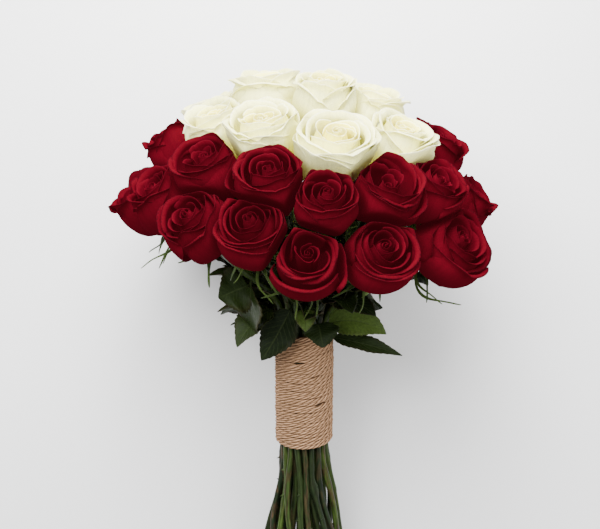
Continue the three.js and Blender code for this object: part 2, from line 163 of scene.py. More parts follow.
draw = seeded(1)
print("three draws:", [round(next(draw), 3) for _ in range(3)])

# %% [markdown]
# Each kind of piece has its own first seed, so a change to one kind leaves the others as they are.

# %% First seeds
BLOOM_SEED = 101
STEM_LINE_SEED = 301
SEPAL_SEED = 504
LEAF_SEED = 701
STEM_DETAIL_SEED = 901
LOOSE_SEPAL_SEED = 1501
SMALL_LEAF_SEED = 2301
CORD_SEED = 71
print("first seeds, from", CORD_SEED, "to", SMALL_LEAF_SEED)

# %% [markdown]
# Directions are unit vectors. Nought degrees round the bunch is its front, which ends up on top once the
# bunch lies on its back, and 90 degrees is its right side.

# %% Directions and laying down
def unit(vector):
    vector = np.asarray(vector, float)
    return vector / (np.linalg.norm(vector) + 1e-12)


def round_the_bunch(degrees):
    angle = math.radians(degrees)
    return np.array([math.sin(angle), -math.cos(angle), 0.0])


def lay_down(points):
    points = np.asarray(points, float)
    x = points[..., 0] * math.cos(ROLL) - points[..., 1] * math.sin(ROLL)
    y = points[..., 0] * math.sin(ROLL) + points[..., 1] * math.cos(ROLL)
    z = points[..., 2]
    along = z * math.cos(TILT) + y * math.sin(TILT)
    height = z * math.sin(TILT) - y * math.cos(TILT)
    laid = np.stack([x - MIDDLE[0], along - MIDDLE[1], height + LIFT], -1)
    laid[..., 2] = np.maximum(laid[..., 2], CLEAR_OF_TABLE)
    return laid / MM_PER_METRE


def turned(vector, axis, angle):
    vector, axis = np.asarray(vector, float), unit(axis)
    return (
        vector * math.cos(angle)
        + np.cross(axis, vector) * math.sin(angle)
        + axis * np.dot(axis, vector) * (1 - math.cos(angle))
    )


print("the middle of the cut ends lies at", lay_down((0, 0, 0)).round(3), "metres")

# %% [markdown]
# Every fine piece is made of grids of points: a petal, a leaf and a sepal are open sheets, a stem and a
# ply of twine are sheets closed into a tube. One function turns many grids into one mesh. It also keeps
# two things for the materials: where a point is on its own sheet (the UV map), and three plain numbers
# (the "tone"), such as how far out a petal sits. They are the same all over a petal or a leaf, and on a
# ply of twine they change from point to point. A sheet gets its thickness from a Solidify modifier.
#
# `hand_over` tells the frame which solid a piece stands in for, and that it moves with the whole bunch.

# %% From grids to a mesh
def mesh_of_grids(name, grids, tones, material, tube=False, thick=0.0):
    points, faces, places, colours = [], [], [], []
    start = 0
    for grid, tone in zip(grids, tones):
        rows, cols = grid.shape[:2]
        points.append(grid.reshape(-1, 3))
        spread = np.broadcast_to(np.asarray(tone, float), (rows, cols, 3)).reshape(-1, 3)
        colours.append(np.concatenate([spread, np.ones((rows * cols, 1))], 1))
        across = cols if tube else cols - 1
        row, col = np.meshgrid(np.arange(rows - 1), np.arange(across), indexing="ij")
        corners = ((0, 0), (0, 1), (1, 1), (1, 0))
        face = [start + (row + r) * cols + (col + c) % cols for r, c in corners]
        place = [np.stack([(col + c) / across, (row + r) / (rows - 1)], -1) for r, c in corners]
        faces.append(np.stack(face, -1).reshape(-1, 4))
        places.append(np.stack(place, -2).reshape(-1, 2))
        start += rows * cols
    mesh = bpy.data.meshes.new(name)
    mesh.from_pydata(np.concatenate(points).tolist(), [], np.concatenate(faces).tolist())
    uv = mesh.uv_layers.new(name="place")
    uv.data.foreach_set("uv", np.concatenate(places).ravel())
    tone_layer = mesh.color_attributes.new("tone", "FLOAT_COLOR", "POINT")
    tone_layer.data.foreach_set("color", np.concatenate(colours).ravel())
    mesh.shade_smooth()
    mesh.materials.append(material)
    piece = bpy.data.objects.new(name, mesh)
    bpy.context.scene.collection.objects.link(piece)
    if thick:
        solid = piece.modifiers.new("thickness", "SOLIDIFY")
        solid.thickness = thick / MM_PER_METRE
        solid.offset = 0.0
    return piece


def hand_over(piece, node):
    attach(piece, "root")
    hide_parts(node)


# %% [markdown]
# ## Materials
#
# A material here is one surface shader with its fixed values typed straight into its sockets. What
# varies over the surface comes from node groups: colours, roughness and normals. `Group` is a short way
# to make such a group: it names what the group takes and gives, and adds and joins its nodes.

# %% A short way to write node groups
class Group:
    def __init__(self, name, gives, takes=()):
        self.tree = bpy.data.node_groups.new(name, "ShaderNodeTree")
        for label, kind, usual in takes:
            socket = self.tree.interface.new_socket(label, in_out="INPUT", socket_type=f"NodeSocket{kind}")
            socket.default_value = (*usual, 1.0) if kind == "Color" else usual
        for label, kind in gives:
            self.tree.interface.new_socket(label, in_out="OUTPUT", socket_type=f"NodeSocket{kind}")
        self.taken = self.tree.nodes.new("NodeGroupInput")
        self.given = self.tree.nodes.new("NodeGroupOutput")

    def fill(self, socket, item):
        if isinstance(item, bpy.types.NodeSocket):
            self.tree.links.new(item, socket)
        elif socket.type == "RGBA":
            socket.default_value = (*item, 1.0)
        else:
            socket.default_value = item

    def node(self, kind, inputs=None, **settings):
        made = self.tree.nodes.new(f"ShaderNode{kind}")
        for key, value in settings.items():
            setattr(made, key, value)
        for key, value in (inputs or {}).items():
            self.fill(made.inputs[key], value)
        return made

    def other(self, group, **inputs):
        made = self.node("Group")
        made.node_tree = group.tree
        for key, value in inputs.items():
            self.fill(made.inputs[key.replace("_", " ")], value)
        return made.outputs

    def value(self, operation, a, b=0.0):
        return self.node("Math", {0: a, 1: b}, operation=operation).outputs[0]

    def blend(self, share, first, second):
        return self.node("Mix", {0: share, 6: first, 7: second}, data_type="RGBA").outputs[2]

    def spread(self, source, low, high, to_low=0.0, to_high=1.0):
        limits = {0: source, 1: low, 2: high, 3: to_low, 4: to_high}
        return self.node("MapRange", limits, interpolation_type="SMOOTHSTEP").outputs[0]

    def shaded(self, colour, shade):
        return self.node("HueSaturation", {"Color": colour, "Value": shade}).outputs[0]

    def bumped(self, strength, depth, height):
        return self.node("Bump", {"Strength": strength, "Distance": depth, "Height": height}).outputs[0]

    def place(self):
        split = self.node("SeparateXYZ", {0: self.node("UVMap", uv_map="place").outputs[0]})
        return split.outputs[0], split.outputs[1]

    def tone(self):
        tone = self.node("Attribute", attribute_name="tone").outputs["Color"]
        return self.node("SeparateColor", {0: tone}).outputs

    def give(self, **outputs):
        for label, socket in outputs.items():
            self.tree.links.new(socket, self.given.inputs[label.replace("_", " ")])


print("a group can:", [name for name in vars(Group) if not name.startswith("_")])

# %% [markdown]
# Most surfaces here vary in colour, roughness and normal, so their groups give those three. `surface`
# makes the material itself: the shader, its fixed values, and the group with this material's own values.

# %% One surface from one group
LOOK = (("Base Color", "Color"), ("Roughness", "Float"), ("Normal", "Vector"))


def surface(name, group, inputs=None, **fixed):
    made = bpy.data.materials.new(name)
    made.use_nodes = True
    nodes, links = made.node_tree.nodes, made.node_tree.links
    shader = nodes["Principled BSDF"]
    for key, value in fixed.items():
        shader.inputs[key.replace("_", " ")].default_value = value
    part = nodes.new("ShaderNodeGroup")
    part.node_tree = group.tree
    part.location = (-300, 0)
    for key, value in (inputs or {}).items():
        part.inputs[key].default_value = (*value, 1.0) if isinstance(value, tuple) else value
    for label in part.outputs.keys():
        links.new(part.outputs[label], shader.inputs[label])
    return made


print("a full look gives:", [label for label, _ in LOOK])

# %% [markdown]
# No plant surface is one even colour. `mottle` is the effect that all of them share: soft patches and
# finer specks, as one number round 1 that a colour is multiplied by. `fibres` is the second one: noise
# stretched along a sheet, which gives veins on a petal, streaks on a stem and hairs on twine.

# %% Two effects that several materials use
mottle = Group(
    "mottle",
    (("Shade", "Float"),),
    (("Patch Scale", "Float", 30.0), ("Speck Scale", "Float", 200.0), ("Depth", "Float", 0.2)),
)
patches = mottle.node("TexNoise", {"Scale": mottle.taken.outputs["Patch Scale"], "Detail": 2.0})
specks = mottle.node("TexNoise", {"Scale": mottle.taken.outputs["Speck Scale"], "Detail": 2.0})
both = mottle.value("ADD", patches.outputs[0], mottle.value("MULTIPLY", specks.outputs[0], 0.5))
swing = mottle.value("MULTIPLY", mottle.value("SUBTRACT", both, 0.75), mottle.taken.outputs["Depth"])
mottle.give(Shade=mottle.value("ADD", mottle.value("MULTIPLY", swing, 3.0), 1.0))

fibres = Group(
    "fibres",
    (("Height", "Float"),),
    (("Across", "Float", 40.0), ("Along", "Float", 3.0)),
)
u, v = fibres.place()
stretched = fibres.node(
    "CombineXYZ",
    {
        0: fibres.value("MULTIPLY", u, fibres.taken.outputs["Across"]),
        1: fibres.value("MULTIPLY", v, fibres.taken.outputs["Along"]),
    },
)
streaks = fibres.node("TexNoise", {0: stretched.outputs[0], "Scale": 1.0, "Detail": 3.0})
fibres.give(Height=streaks.outputs[0])
print("shared groups:", [group.name for group in bpy.data.node_groups])

# %% [markdown]
# A petal is painted darker towards its foot: that is painted shade, because the foot lies in the shade of
# its neighbours. The foot of a cream petal is also yellower. Its rim has a colour of its own. Fine veins
# fan out from the foot. The tone's first number says how far out the petal sits, so the closed heart can
# have its own colour too, and only the outer petals get dry spots at their rims. The tone's second number
# makes one petal a little darker or paler than the next.

# %% How a petal looks
petal_look = Group(
    "petal_look",
    LOOK,
    (
        ("Foot", "Color", (0.1, 0.1, 0.1)),
        ("Blade", "Color", (0.5, 0.5, 0.5)),
        ("Rim", "Color", (0.8, 0.8, 0.8)),
        ("Heart", "Color", (0.5, 0.5, 0.5)),
        ("Dry Edge", "Color", (0.1, 0.1, 0.1)),
        ("Vein Strength", "Float", 0.2),
    ),
)
takes = petal_look.taken.outputs
u, v = petal_look.place()
tone = petal_look.tone()
# Painted shade: the colour runs from the darker Foot colour at the foot to the Blade colour up the petal.
colour = petal_look.blend(petal_look.spread(v, 0.08, 0.74), takes["Foot"], takes["Blade"])
colour = petal_look.blend(petal_look.spread(tone[0], 0.72, 0.2), colour, takes["Heart"])
colour = petal_look.blend(petal_look.spread(v, 0.95, 1.0), colour, takes["Rim"])
dry_spots = petal_look.node("TexNoise", {"Scale": 70.0, "Detail": 2.0}).outputs[0]
dry = petal_look.spread(dry_spots, 0.46, 0.62)
dry = petal_look.value("MULTIPLY", dry, petal_look.spread(v, 0.93, 1.0))
dry = petal_look.value("MULTIPLY", dry, petal_look.spread(tone[0], 0.5, 0.8))
colour = petal_look.blend(dry, colour, takes["Dry Edge"])
veins = petal_look.other(fibres, Across=30.0, Along=2.0)[0]
shade = petal_look.other(mottle, Patch_Scale=60.0, Speck_Scale=400.0, Depth=0.16)[0]
shade = petal_look.value("MULTIPLY", shade, petal_look.spread(veins, 0.3, 0.7, 0.93, 1.06))
shade = petal_look.value("MULTIPLY", shade, petal_look.spread(tone[1], 0.0, 1.0, 0.86, 1.12))
petal_look.give(
    Base_Color=petal_look.shaded(colour, shade),
    Roughness=petal_look.spread(veins, 0.3, 0.7, 0.5, 0.64),
    Normal=petal_look.bumped(takes["Vein Strength"], 0.0006, veins),
)
print("a petal takes:", [socket.name for socket in takes if socket.name])

# %% [markdown]
# Red and cream petals are the same group with other colours. A red petal is velvet. It mirrors nothing,
# and at grazing angles it has a very faint sheen. A real one also lets some light through, which keeps
# the hollows between the petals a deep red and not black. Tracing that light through so many thin
# sheets is slow, so a very faint red glow stands in for it. Cream petals let much more light through:
# they get subsurface scattering.

# %% Red and cream petals
red_petals = surface(
    "velvet_red_petals",
    petal_look,
    {
        # Foot is darker than Blade: painted shade at the foot of the petal.
        "Foot": (0.038, 0.0015, 0.0040),
        "Blade": (0.048, 0.0015, 0.0038),
        "Rim": (0.040, 0.0014, 0.0040),
        "Heart": (0.054, 0.0017, 0.0046),
        "Dry Edge": (0.006, 0.0012, 0.0020),
        "Vein Strength": 0.2,
    },
    Sheen_Weight=0.006,
    Sheen_Roughness=0.3,
    Sheen_Tint=(1.0, 0.05, 0.2, 1.0),
    Specular_IOR_Level=0.0,
    Emission_Color=(1.0, 0.055, 0.115, 1.0),
    Emission_Strength=0.028,
)
white_petals = surface(
    "cream_white_petals",
    petal_look,
    {
        # Foot is darker and yellower than Blade: the darkening is painted shade.
        "Foot": (0.86, 0.80, 0.07),
        "Blade": (0.95, 0.93, 0.36),
        "Rim": (0.97, 0.96, 0.56),
        "Heart": (0.97, 0.88, 0.09),
        "Dry Edge": (0.88, 0.80, 0.30),
        "Vein Strength": 0.12,
    },
    Subsurface_Weight=0.35,
    Subsurface_Scale=0.006,
    Subsurface_Radius=(1.0, 0.9, 0.6),
    Specular_IOR_Level=0.25,
)
print("petal materials:", red_petals.name, "and", white_petals.name)

# %% [markdown]
# Leaves are dark and a little glossy, with pale ribs. The midrib is where the sheet's u is one half, and
# the side ribs run forward from it, so their pattern is drawn from both u and v. The tone's first
# number picks dark or fresh green, the second one how brown the leaf is at its edge.

# %% Leaf material
leaf_look = Group("leaf_look", LOOK)
u, v = leaf_look.place()
tone = leaf_look.tone()
off_rib = leaf_look.value("ABSOLUTE", leaf_look.value("SUBTRACT", u, 0.5))
midrib = leaf_look.spread(off_rib, 0.04, 0.0)
slant = leaf_look.value("SUBTRACT", v, leaf_look.value("MULTIPLY", off_rib, 0.55))
wave = leaf_look.value("SINE", leaf_look.value("MULTIPLY", slant, 62.0))
side_ribs = leaf_look.value("MULTIPLY", leaf_look.spread(wave, 0.8, 1.0), 0.5)
ribs = leaf_look.value("MAXIMUM", midrib, side_ribs)
shade = leaf_look.other(mottle, Patch_Scale=60.0, Speck_Scale=300.0, Depth=0.35)[0]
colour = leaf_look.blend(tone[0], (0.0052, 0.0096, 0.0026), (0.076, 0.122, 0.022))
colour = leaf_look.blend(leaf_look.value("MULTIPLY", ribs, 0.4), colour, (0.045, 0.062, 0.022))
edge = leaf_look.value("MULTIPLY", leaf_look.spread(off_rib, 0.3, 0.5), tone[1])
colour = leaf_look.blend(edge, colour, (0.030, 0.014, 0.008))
relief = leaf_look.value("SUBTRACT", leaf_look.value("MULTIPLY", shade, 0.3), ribs)
leaf_look.give(
    Base_Color=leaf_look.shaded(colour, shade),
    Roughness=leaf_look.spread(shade, 0.8, 1.2, 0.38, 0.52),
    Normal=leaf_look.bumped(0.5, 0.0008, relief),
)
leaf_surface = surface("leaf_blades", leaf_look, Specular_IOR_Level=0.07)
print("nodes in the look of a leaf:", len(leaf_look.tree.nodes))

# %% [markdown]
# Stems differ from one another: the tone's first number picks dark or fresh green, and the second how
# much of the stem has turned brown, which happens in patches. Streaks run along every stem.

# %% Stem material
stem_look = Group("stem_look", LOOK)
tone = stem_look.tone()
streaks = stem_look.other(fibres, Across=9.0, Along=14.0)[0]
shade = stem_look.other(mottle, Patch_Scale=40.0, Speck_Scale=260.0, Depth=0.5)[0]
colour = stem_look.blend(tone[0], (0.0075, 0.0140, 0.0048), (0.040, 0.068, 0.011))
blotches = stem_look.node("TexNoise", {"Scale": 26.0, "Detail": 3.0}).outputs[0]
brown = stem_look.value("MULTIPLY", stem_look.spread(blotches, 0.45, 0.62), tone[1])
colour = stem_look.blend(brown, colour, (0.040, 0.024, 0.011))
shade = stem_look.value("MULTIPLY", shade, stem_look.spread(streaks, 0.3, 0.7, 0.5, 1.35))
stem_look.give(
    Base_Color=stem_look.shaded(colour, shade),
    Roughness=stem_look.spread(streaks, 0.3, 0.7, 0.4, 0.55),
    Normal=stem_look.bumped(0.3, 0.0006, streaks),
)
stem_surface = surface("stems", stem_look, Specular_IOR_Level=0.14)
print("nodes in the look of a stem:", len(stem_look.tree.nodes))

# %% [markdown]
# Jute is dry and hairy. Along a ply the fibres run almost straight, so the noise is stretched along it.
# The tone's second number is one on the crown of a ply and nought where it is pressed into its
# neighbour: there the colour is painted darker. That is painted shade, because no light reaches it,
# and partly the colour of fibres that are never rubbed.

# %% Twine material
twine_look = Group("twine_look", LOOK)
hairs = twine_look.other(fibres, Across=7.0, Along=900.0)[0]
shade = twine_look.other(mottle, Patch_Scale=110.0, Speck_Scale=500.0, Depth=0.3)[0]
colour = twine_look.blend(twine_look.spread(hairs, 0.3, 0.7), (0.25, 0.145, 0.078), (0.415, 0.245, 0.14))
# Painted shade: where a ply is pressed into its neighbour it gets a dark colour.
crown = twine_look.spread(twine_look.tone()[1], 0.3, 0.88)
colour = twine_look.blend(crown, (0.088, 0.046, 0.023), colour)
twine_look.give(
    Base_Color=twine_look.shaded(colour, shade),
    Roughness=twine_look.spread(hairs, 0.0, 1.0, 0.85, 0.95),
    Normal=twine_look.bumped(0.8, 0.0005, hairs),
)
twine_surface = surface("jute", twine_look, Specular_IOR_Level=0.1)
print("materials:", [made.name for made in bpy.data.materials])

# %% [markdown]
# ## Where the roses sit
#
# A rose has a middle on the dome, an axis that tips outwards, a foot below its middle, and a radius. In
# the real bunch the petals of neighbours press against each other. `pressed`, in the next cell, does
# that: it holds a point back more and more as it nears the plane that parts two blooms, and never lets
# it reach the plane.

# %% Roses on the dome
def seat_rose(seat, colour):
    polar, azimuth, opened, *raised = seat
    down = math.radians(polar)
    outward = round_the_bunch(azimuth)
    middle = outward * DOME_HALF_WIDTH * math.sin(down)
    middle[2] = DOME_LEVEL + DOME_RISE * math.cos(down) + sum(raised)
    tip = UPRIGHT_SHARE * math.atan2(math.sin(down) / DOME_HALF_WIDTH, math.cos(down) / DOME_RISE)
    axis = outward * math.sin(tip) + np.array([0, 0, math.cos(tip)])
    usual = RED_RADIUS if colour == "red" else WHITE_RADIUS
    return {
        "colour": colour,
        "middle": middle,
        "axis": axis,
        "foot": middle - axis * BLOOM_HALF_LENGTH,
        "opened": opened,
        "radius": usual * opened,
    }


ROSES = [seat_rose(seat, "red") for seat in RED_SEATS]
ROSES += [seat_rose(seat, "white") for seat in WHITE_SEATS]
print(len(ROSES), "roses; the highest middle is", max(round(float(r["middle"][2])) for r in ROSES), "mm up")

# %% [markdown]
# A point may be near several neighbours at once, so `pressed` goes round them three times.
# `share_inside_blooms` is for the leaves: it tells how much of a leaf would grow into a bloom. For that a
# bloom is a cup, narrow at its foot and nearly at its full radius from 14 mm up.

# %% Room between neighbours
PRESS_ROUNDS = 3
NEIGHBOUR_REACH = 60
CUP_FULL_AT = 14
CUP_HEIGHT = 46


def pressed(points, rose):
    held = np.array(points, float)
    for _ in range(PRESS_ROUNDS):
        for other in ROSES:
            if other is rose:
                continue
            apart = other["middle"] - rose["middle"]
            far = np.linalg.norm(apart)
            half = far * rose["radius"] / (rose["radius"] + other["radius"]) - HALF_BLOOM_GAP
            if half > NEIGHBOUR_REACH:
                continue
            way = apart / far
            reach = (held - rose["middle"]) @ way
            free = half * SQUEEZE_START
            room = half - free
            over = np.maximum(reach - free, 0.0)
            kept = free + room * (1 - np.exp(-over / room))
            held += np.where(reach > free, kept - reach, 0.0)[..., None] * way
    return held


def share_inside_blooms(points):
    inside = np.zeros(points.shape[:-1], bool)
    for rose in ROSES:
        away = points - rose["foot"]
        height = away @ rose["axis"]
        radius = np.linalg.norm(away - height[..., None] * rose["axis"], axis=-1)
        room = rose["radius"] * np.clip(height / CUP_FULL_AT, 0.3, 0.93)
        inside |= (height > 0) & (height < CUP_HEIGHT) & (radius < room)
    return inside.mean()


nearest = min(np.linalg.norm(other["middle"] - ROSES[0]["middle"]) for other in ROSES[1:])
print("from the first bloom to its nearest neighbour:", round(float(nearest)), "mm")

# %% [markdown]
# ## One petal
#
# A petal is a sheet with v running from its foot to its rim and u across it. Seen from the side it
# follows a curve: out from the foot, up round the belly, and in again. Its rim then rolls outwards, by a
# few degrees in the heart and right over on an outer petal. Seen from above it wraps part of the way
# round the bloom, one edge tucked inside its neighbour and the other outside, which makes the spiral.
#
# Two curves are needed for that: a smooth one through four control values, for the side view, and a
# line with sharp turns, because a stiff rim doesn't wave evenly but buckles in straight runs.

# %% Two curves
def smooth_curve(share, a, b, c, d):
    back = 1 - share
    return back**3 * a + 3 * back**2 * share * b + 3 * back * share**2 * c + share**3 * d


def folded(u, draw, beat):
    """A line that goes up and down in straight runs, as a stiff rim buckles."""
    phase = next(draw) * 2
    return np.abs((u * beat + phase) % 2 - 1) - 0.5


print("a fold at five places:", folded(np.linspace(-1, 1, 5), seeded(0), 1.3).round(2))

# %% [markdown]
# The sheet could be modelled once and bent by modifiers, but a rose needs some fifteen petals that all
# differ, and each of them must roll its own rim. So every point is worked out from u and v: first the
# height of the rim, then the side curve with its roll, then the buckling, and last the wrap round the
# axis.

# %% Shape of a petal
PETAL_COLUMNS = 25
PETAL_ROWS = 19
ROLL_START = 0.72


def petal(form, draw):
    u = np.linspace(-1, 1, PETAL_COLUMNS)[None, :]
    v = np.linspace(0, 1, PETAL_ROWS)[:, None]
    point = form["point"] * np.exp(-((u / 0.22) ** 2))
    uneven = form["ripple"] * folded(u, draw, 1.3 + 1.2 * next(draw))
    nick = 1.4 * form["ripple"] * np.exp(-(((u - (next(draw) - 0.5) * 1.6) / 0.07) ** 2))
    rim_line = form["height"] * (1 - form["edge"] * np.abs(u) ** 3)
    top = rim_line + form["slope"] * u + point + uneven - nick

    # The rim starts at the lean that the side curve ends with, and turns outwards along an arc.
    start = -math.atan2(1.12 * form["belly"] - form["rim"], 0.28 * form["height"])
    end = math.radians(form["roll"]) * (0.95 - 0.2 * np.abs(u) ** 2 + 0.2 * folded(u, draw, 1.1))
    turn = end - start
    peak = form["curl"] * (np.sin(np.minimum(end, math.pi / 2)) - math.sin(start)) / turn
    climb = np.minimum(v / ROLL_START, 1.0)
    rolled = np.clip((v - ROLL_START) / (1 - ROLL_START), 0, 1)
    radius = smooth_curve(climb, form["foot"], form["belly"] * 1.02, form["belly"] * 1.12, form["rim"])
    level = smooth_curve(climb, 0, 0.05, 0.72, 1) * (top - peak)
    radius = radius + form["curl"] * (math.cos(start) - np.cos(start + turn * rolled)) / turn
    level = level + form["curl"] * (np.sin(start + turn * rolled) - math.sin(start)) / turn

    # One edge is tucked in and the other lies over. The upper half buckles a little.
    radius = radius + form["tuck"] * u * v**0.7
    phase = next(draw) * 6.3
    beat = 2 + 3 * next(draw)
    radius = radius + form["ripple"] * (np.sin(u * beat + phase) + 0.5 * folded(u, draw, 1.6)) * v**2.5
    level = level + 0.5 * form["ripple"] * np.cos(u * beat * 1.3 + phase) * v**4

    # An open petal leans out from its foot, more and more towards its rim.
    lean = math.radians(form["lean"]) * v**0.5
    out, up = radius - form["foot"], level
    radius = form["foot"] + out * np.cos(lean) + up * np.sin(lean)
    level = up * np.cos(lean) - out * np.sin(lean)

    half = math.radians(form["half"])
    angle = math.radians(form["azimuth"]) + half * u * (0.6 + 0.4 * np.minimum(v * 1.6, 1.0))
    return np.stack([radius * np.cos(angle), radius * np.sin(angle), level + 0 * angle], -1)


print("points in one petal:", PETAL_ROWS * PETAL_COLUMNS)

# %% [markdown]
# ## The blooms
#
# A cut rose has a closed heart of a few narrow petals, a middle of wider ones, and outer petals that
# make its smooth cup. A pair of numbers gives the first and the last petal of a group. Petals follow
# each other at the golden angle, 137.5 degrees, as on a living rose, so no petal lies straight behind
# another.
#
# Most values are millimetres on a bloom of the usual size. `rim` and `belly` are distances from the
# axis, `height` is above the foot, and `curl` is the length of the rolled part. `tuck` is how far one
# edge goes in and the other out, `slope` how much one end of the rim is higher, `point` how pointed its
# middle is, and `ripple` how uneven it is. `half` is half a petal's width and `roll` how far its rim
# turns out, both in degrees. `edge` is the share of the height by which the rim falls at its two ends.

# %% Groups of petals
RED_PETALS = (
    {"count": 5, "rim": (1.0, 5.0), "belly": (3.6, 8.0), "height": (46.2, 45.2), "half": (106, 90),
     "roll": (2, 10), "curl": 2.0, "edge": 0.06, "tuck": 0.9, "slope": 0.9, "point": 0.0, "ripple": 0.35},
    {"count": 4, "rim": (7.6, 12.6), "belly": (8.8, 14.0), "height": (45.2, 46.2), "half": (88, 76),
     "roll": (14, 34), "curl": 4.2, "edge": 0.10, "tuck": 1.5, "slope": 1.8, "point": 0.4, "ripple": 0.7},
    {"count": 4, "rim": (14.8, 18.8), "belly": (16.8, 22.4), "height": (46.4, 45.4), "half": (82, 74),
     "roll": (36, 66), "curl": 6.0, "edge": 0.16, "tuck": 1.7, "slope": 2.0, "point": 1.0, "ripple": 1.1},
    {"count": 4, "rim": (20.8, 23.2), "belly": (25.8, 27.8), "height": (44.4, 41.6), "half": (86, 78),
     "roll": (72, 102), "curl": 6.8, "edge": 0.22, "tuck": 1.4, "slope": 1.8, "point": 1.8, "ripple": 1.0},
)
WHITE_PETALS = (
    {"count": 5, "rim": (1.2, 6.6), "belly": (4.0, 10.0), "height": (45.8, 44.4), "half": (108, 90),
     "roll": (4, 14), "curl": 2.2, "edge": 0.06, "tuck": 1.0, "slope": 1.0, "point": 0.0, "ripple": 0.5},
    {"count": 5, "rim": (9.4, 15.2), "belly": (11.0, 17.2), "height": (44.6, 46.0), "half": (88, 78),
     "roll": (26, 52), "curl": 5.4, "edge": 0.10, "tuck": 1.6, "slope": 1.8, "point": 0.4, "ripple": 0.9},
    {"count": 4, "rim": (17.6, 22.0), "belly": (20.4, 26.0), "height": (46.4, 45.0), "half": (82, 74),
     "roll": (56, 90), "curl": 8.6, "edge": 0.18, "tuck": 1.8, "slope": 2.2, "point": 1.0, "ripple": 1.2},
    {"count": 4, "rim": (23.4, 25.4), "belly": (28.4, 30.4), "height": (44.0, 39.0), "half": (80, 72),
     "roll": (88, 124), "curl": 9.6, "edge": 0.30, "tuck": 2.0, "slope": 2.8, "point": 1.6, "ripple": 1.4},
)
GOLDEN_ANGLE = 137.5
print("petals on a red bloom:", sum(group["count"] for group in RED_PETALS))
print("petals on a cream bloom:", sum(group["count"] for group in WHITE_PETALS))

# %% [markdown]
# No two blooms are alike. A few that show well get their own traits: how deep the heart has sunk, how
# much wider the hollow round it is, how slim the cup and the bud in it have stayed, how many times more
# ragged the outer petals are, and petals that have opened away from the cup. Such a petal has its
# direction, its lean and its half width in degrees, and how much higher one end of its rim is. In a
# bloom's own directions 270 degrees is its lower side, 0 its right one and 90 its upper one.

# %% Traits of single blooms
RED_TRAITS = {
    0: {"sunk": 5, "hollow": 4, "slim": 0.8, "bud": 0.7, "open": ((256, 5, 74, 2), (356, 11, 44, -4))},
    1: {"sunk": 1, "hollow": 0, "open": ((262, 3, 80, -8), (20, 5, 56, 0))},
    2: {"sunk": 2, "hollow": 1, "open": ((250, 3, 80, 6),)},
    3: {"sunk": 2, "hollow": 1, "open": ((215, 5, 78, 8), (120, 7, 60, 0), (314, 4, 64, 0))},
    4: {"ragged": 1.7},
    5: {"ragged": 2.2},
    6: {"ragged": 2.4},
    7: {"sunk": 3, "hollow": 1, "open": ((186, 12, 50, 0), (80, 6, 60, 2))},
    9: {"sunk": 14, "hollow": 4, "bud": 0.6, "open": ((338, 12, 60, 4), (100, 6, 56, 0), (235, 3, 70, -8))},
    12: {"sunk": 5, "hollow": 3, "bud": 0.85, "open": ((60, 6, 60, 0),)},
    13: {"ragged": 2.4},
    14: {"sunk": 3, "hollow": 1, "slim": 0.88, "ragged": 2.0},
}
WHITE_TRAITS = {
    0: {"sunk": 0, "hollow": 0, "open": ((150, 13, 64, 2), (215, 10, 64, 0), (30, 10, 60, -2))},
    1: {"sunk": 3, "hollow": 1, "open": ((100, 8, 60, 0), (255, 4, 72, -5))},
    3: {"sunk": 3, "hollow": 0, "slim": 0.88, "open": ((255, 4, 66, 3),)},
    5: {"sunk": 3, "hollow": 0, "slim": 0.94, "open": ((250, 3, 60, 5), (320, 5, 50, -5))},
}
print("blooms with traits of their own:", len(RED_TRAITS) + len(WHITE_TRAITS))

# %% [markdown]
# A petal's form comes from its group, its place in the group, and the bloom's traits, with a little
# chance in its turn, height, width and roll. `outward` runs from nought at the heart to one at the last
# petal. The heart sinks most, and the hollow lies about seven tenths of the way out.

# %% The form of each petal
BUD_SHARE = 0.55
OUTER_SHARE = 0.7
HOLLOW_WIDTH = 0.14
OPEN_PETAL = {"roll": 72, "height": 42.5, "point": 2.0}


def petal_forms(groups, traits, draw):
    hand = 1 if next(draw) > 0.5 else -1
    azimuth = next(draw) * 360
    sunk = traits.get("sunk", 1 + 4 * next(draw))
    hollow = traits.get("hollow", 2 * next(draw))
    total = sum(group["count"] for group in groups)
    placed = 0
    for group in groups:
        for i in range(group["count"]):
            share = i / (group["count"] - 1)
            outward = placed / (total - 1)
            form = {
                key: value[0] + (value[1] - value[0]) * share if isinstance(value, tuple) else value
                for key, value in group.items()
            }
            form["azimuth"] = azimuth + (next(draw) - 0.5) * 50
            form["height"] += (next(draw) - 0.5) * 2.4 - sunk * max(0.0, 1 - outward * 1.6)
            widened = hollow * math.exp(-(((outward - OUTER_SHARE) / HOLLOW_WIDTH) ** 2))
            slim = traits.get("slim", 1.0) * (traits.get("bud", 1.0) if outward < BUD_SHARE else 1.0)
            form["rim"] = slim * (form["rim"] + widened)
            form["belly"] = slim * (form["belly"] + 0.6 * widened)
            form["roll"] *= 0.7 + 0.6 * next(draw)
            form["half"] *= 0.88 + 0.24 * next(draw)
            form["slope"] *= hand * (0.5 + next(draw))
            form["tuck"] *= hand
            form["foot"] = 2.0 + 3.0 * outward
            if outward > OUTER_SHARE:
                form["ripple"] *= traits.get("ragged", 1.0)
                form["point"] *= traits.get("ragged", 1.0)
            form["lean"] = 0.0
            form["outward"] = outward
            placed += 1
            azimuth += hand * GOLDEN_ANGLE
            yield form
    for azimuth, lean, half, slope in traits.get("open", ()):
        last = groups[-1]
        size = {"rim": last["rim"][1], "belly": last["belly"][1], **OPEN_PETAL}
        yield {**form, **size, "azimuth": azimuth, "lean": lean, "half": half, "slope": slope}


forms = list(petal_forms(RED_PETALS, RED_TRAITS[0], seeded(BLOOM_SEED)))
print("the first bloom has", len(forms), "petals, with those that have opened")

# %% [markdown]
# Each bloom is one object with all its petals, and it replaces its solid. Its heart stands a little off
# the axis, as it does on a real rose. The tone of a petal is how far out it sits and two chance numbers.

# %% Build every bloom
PETAL_THICKNESS = 0.18


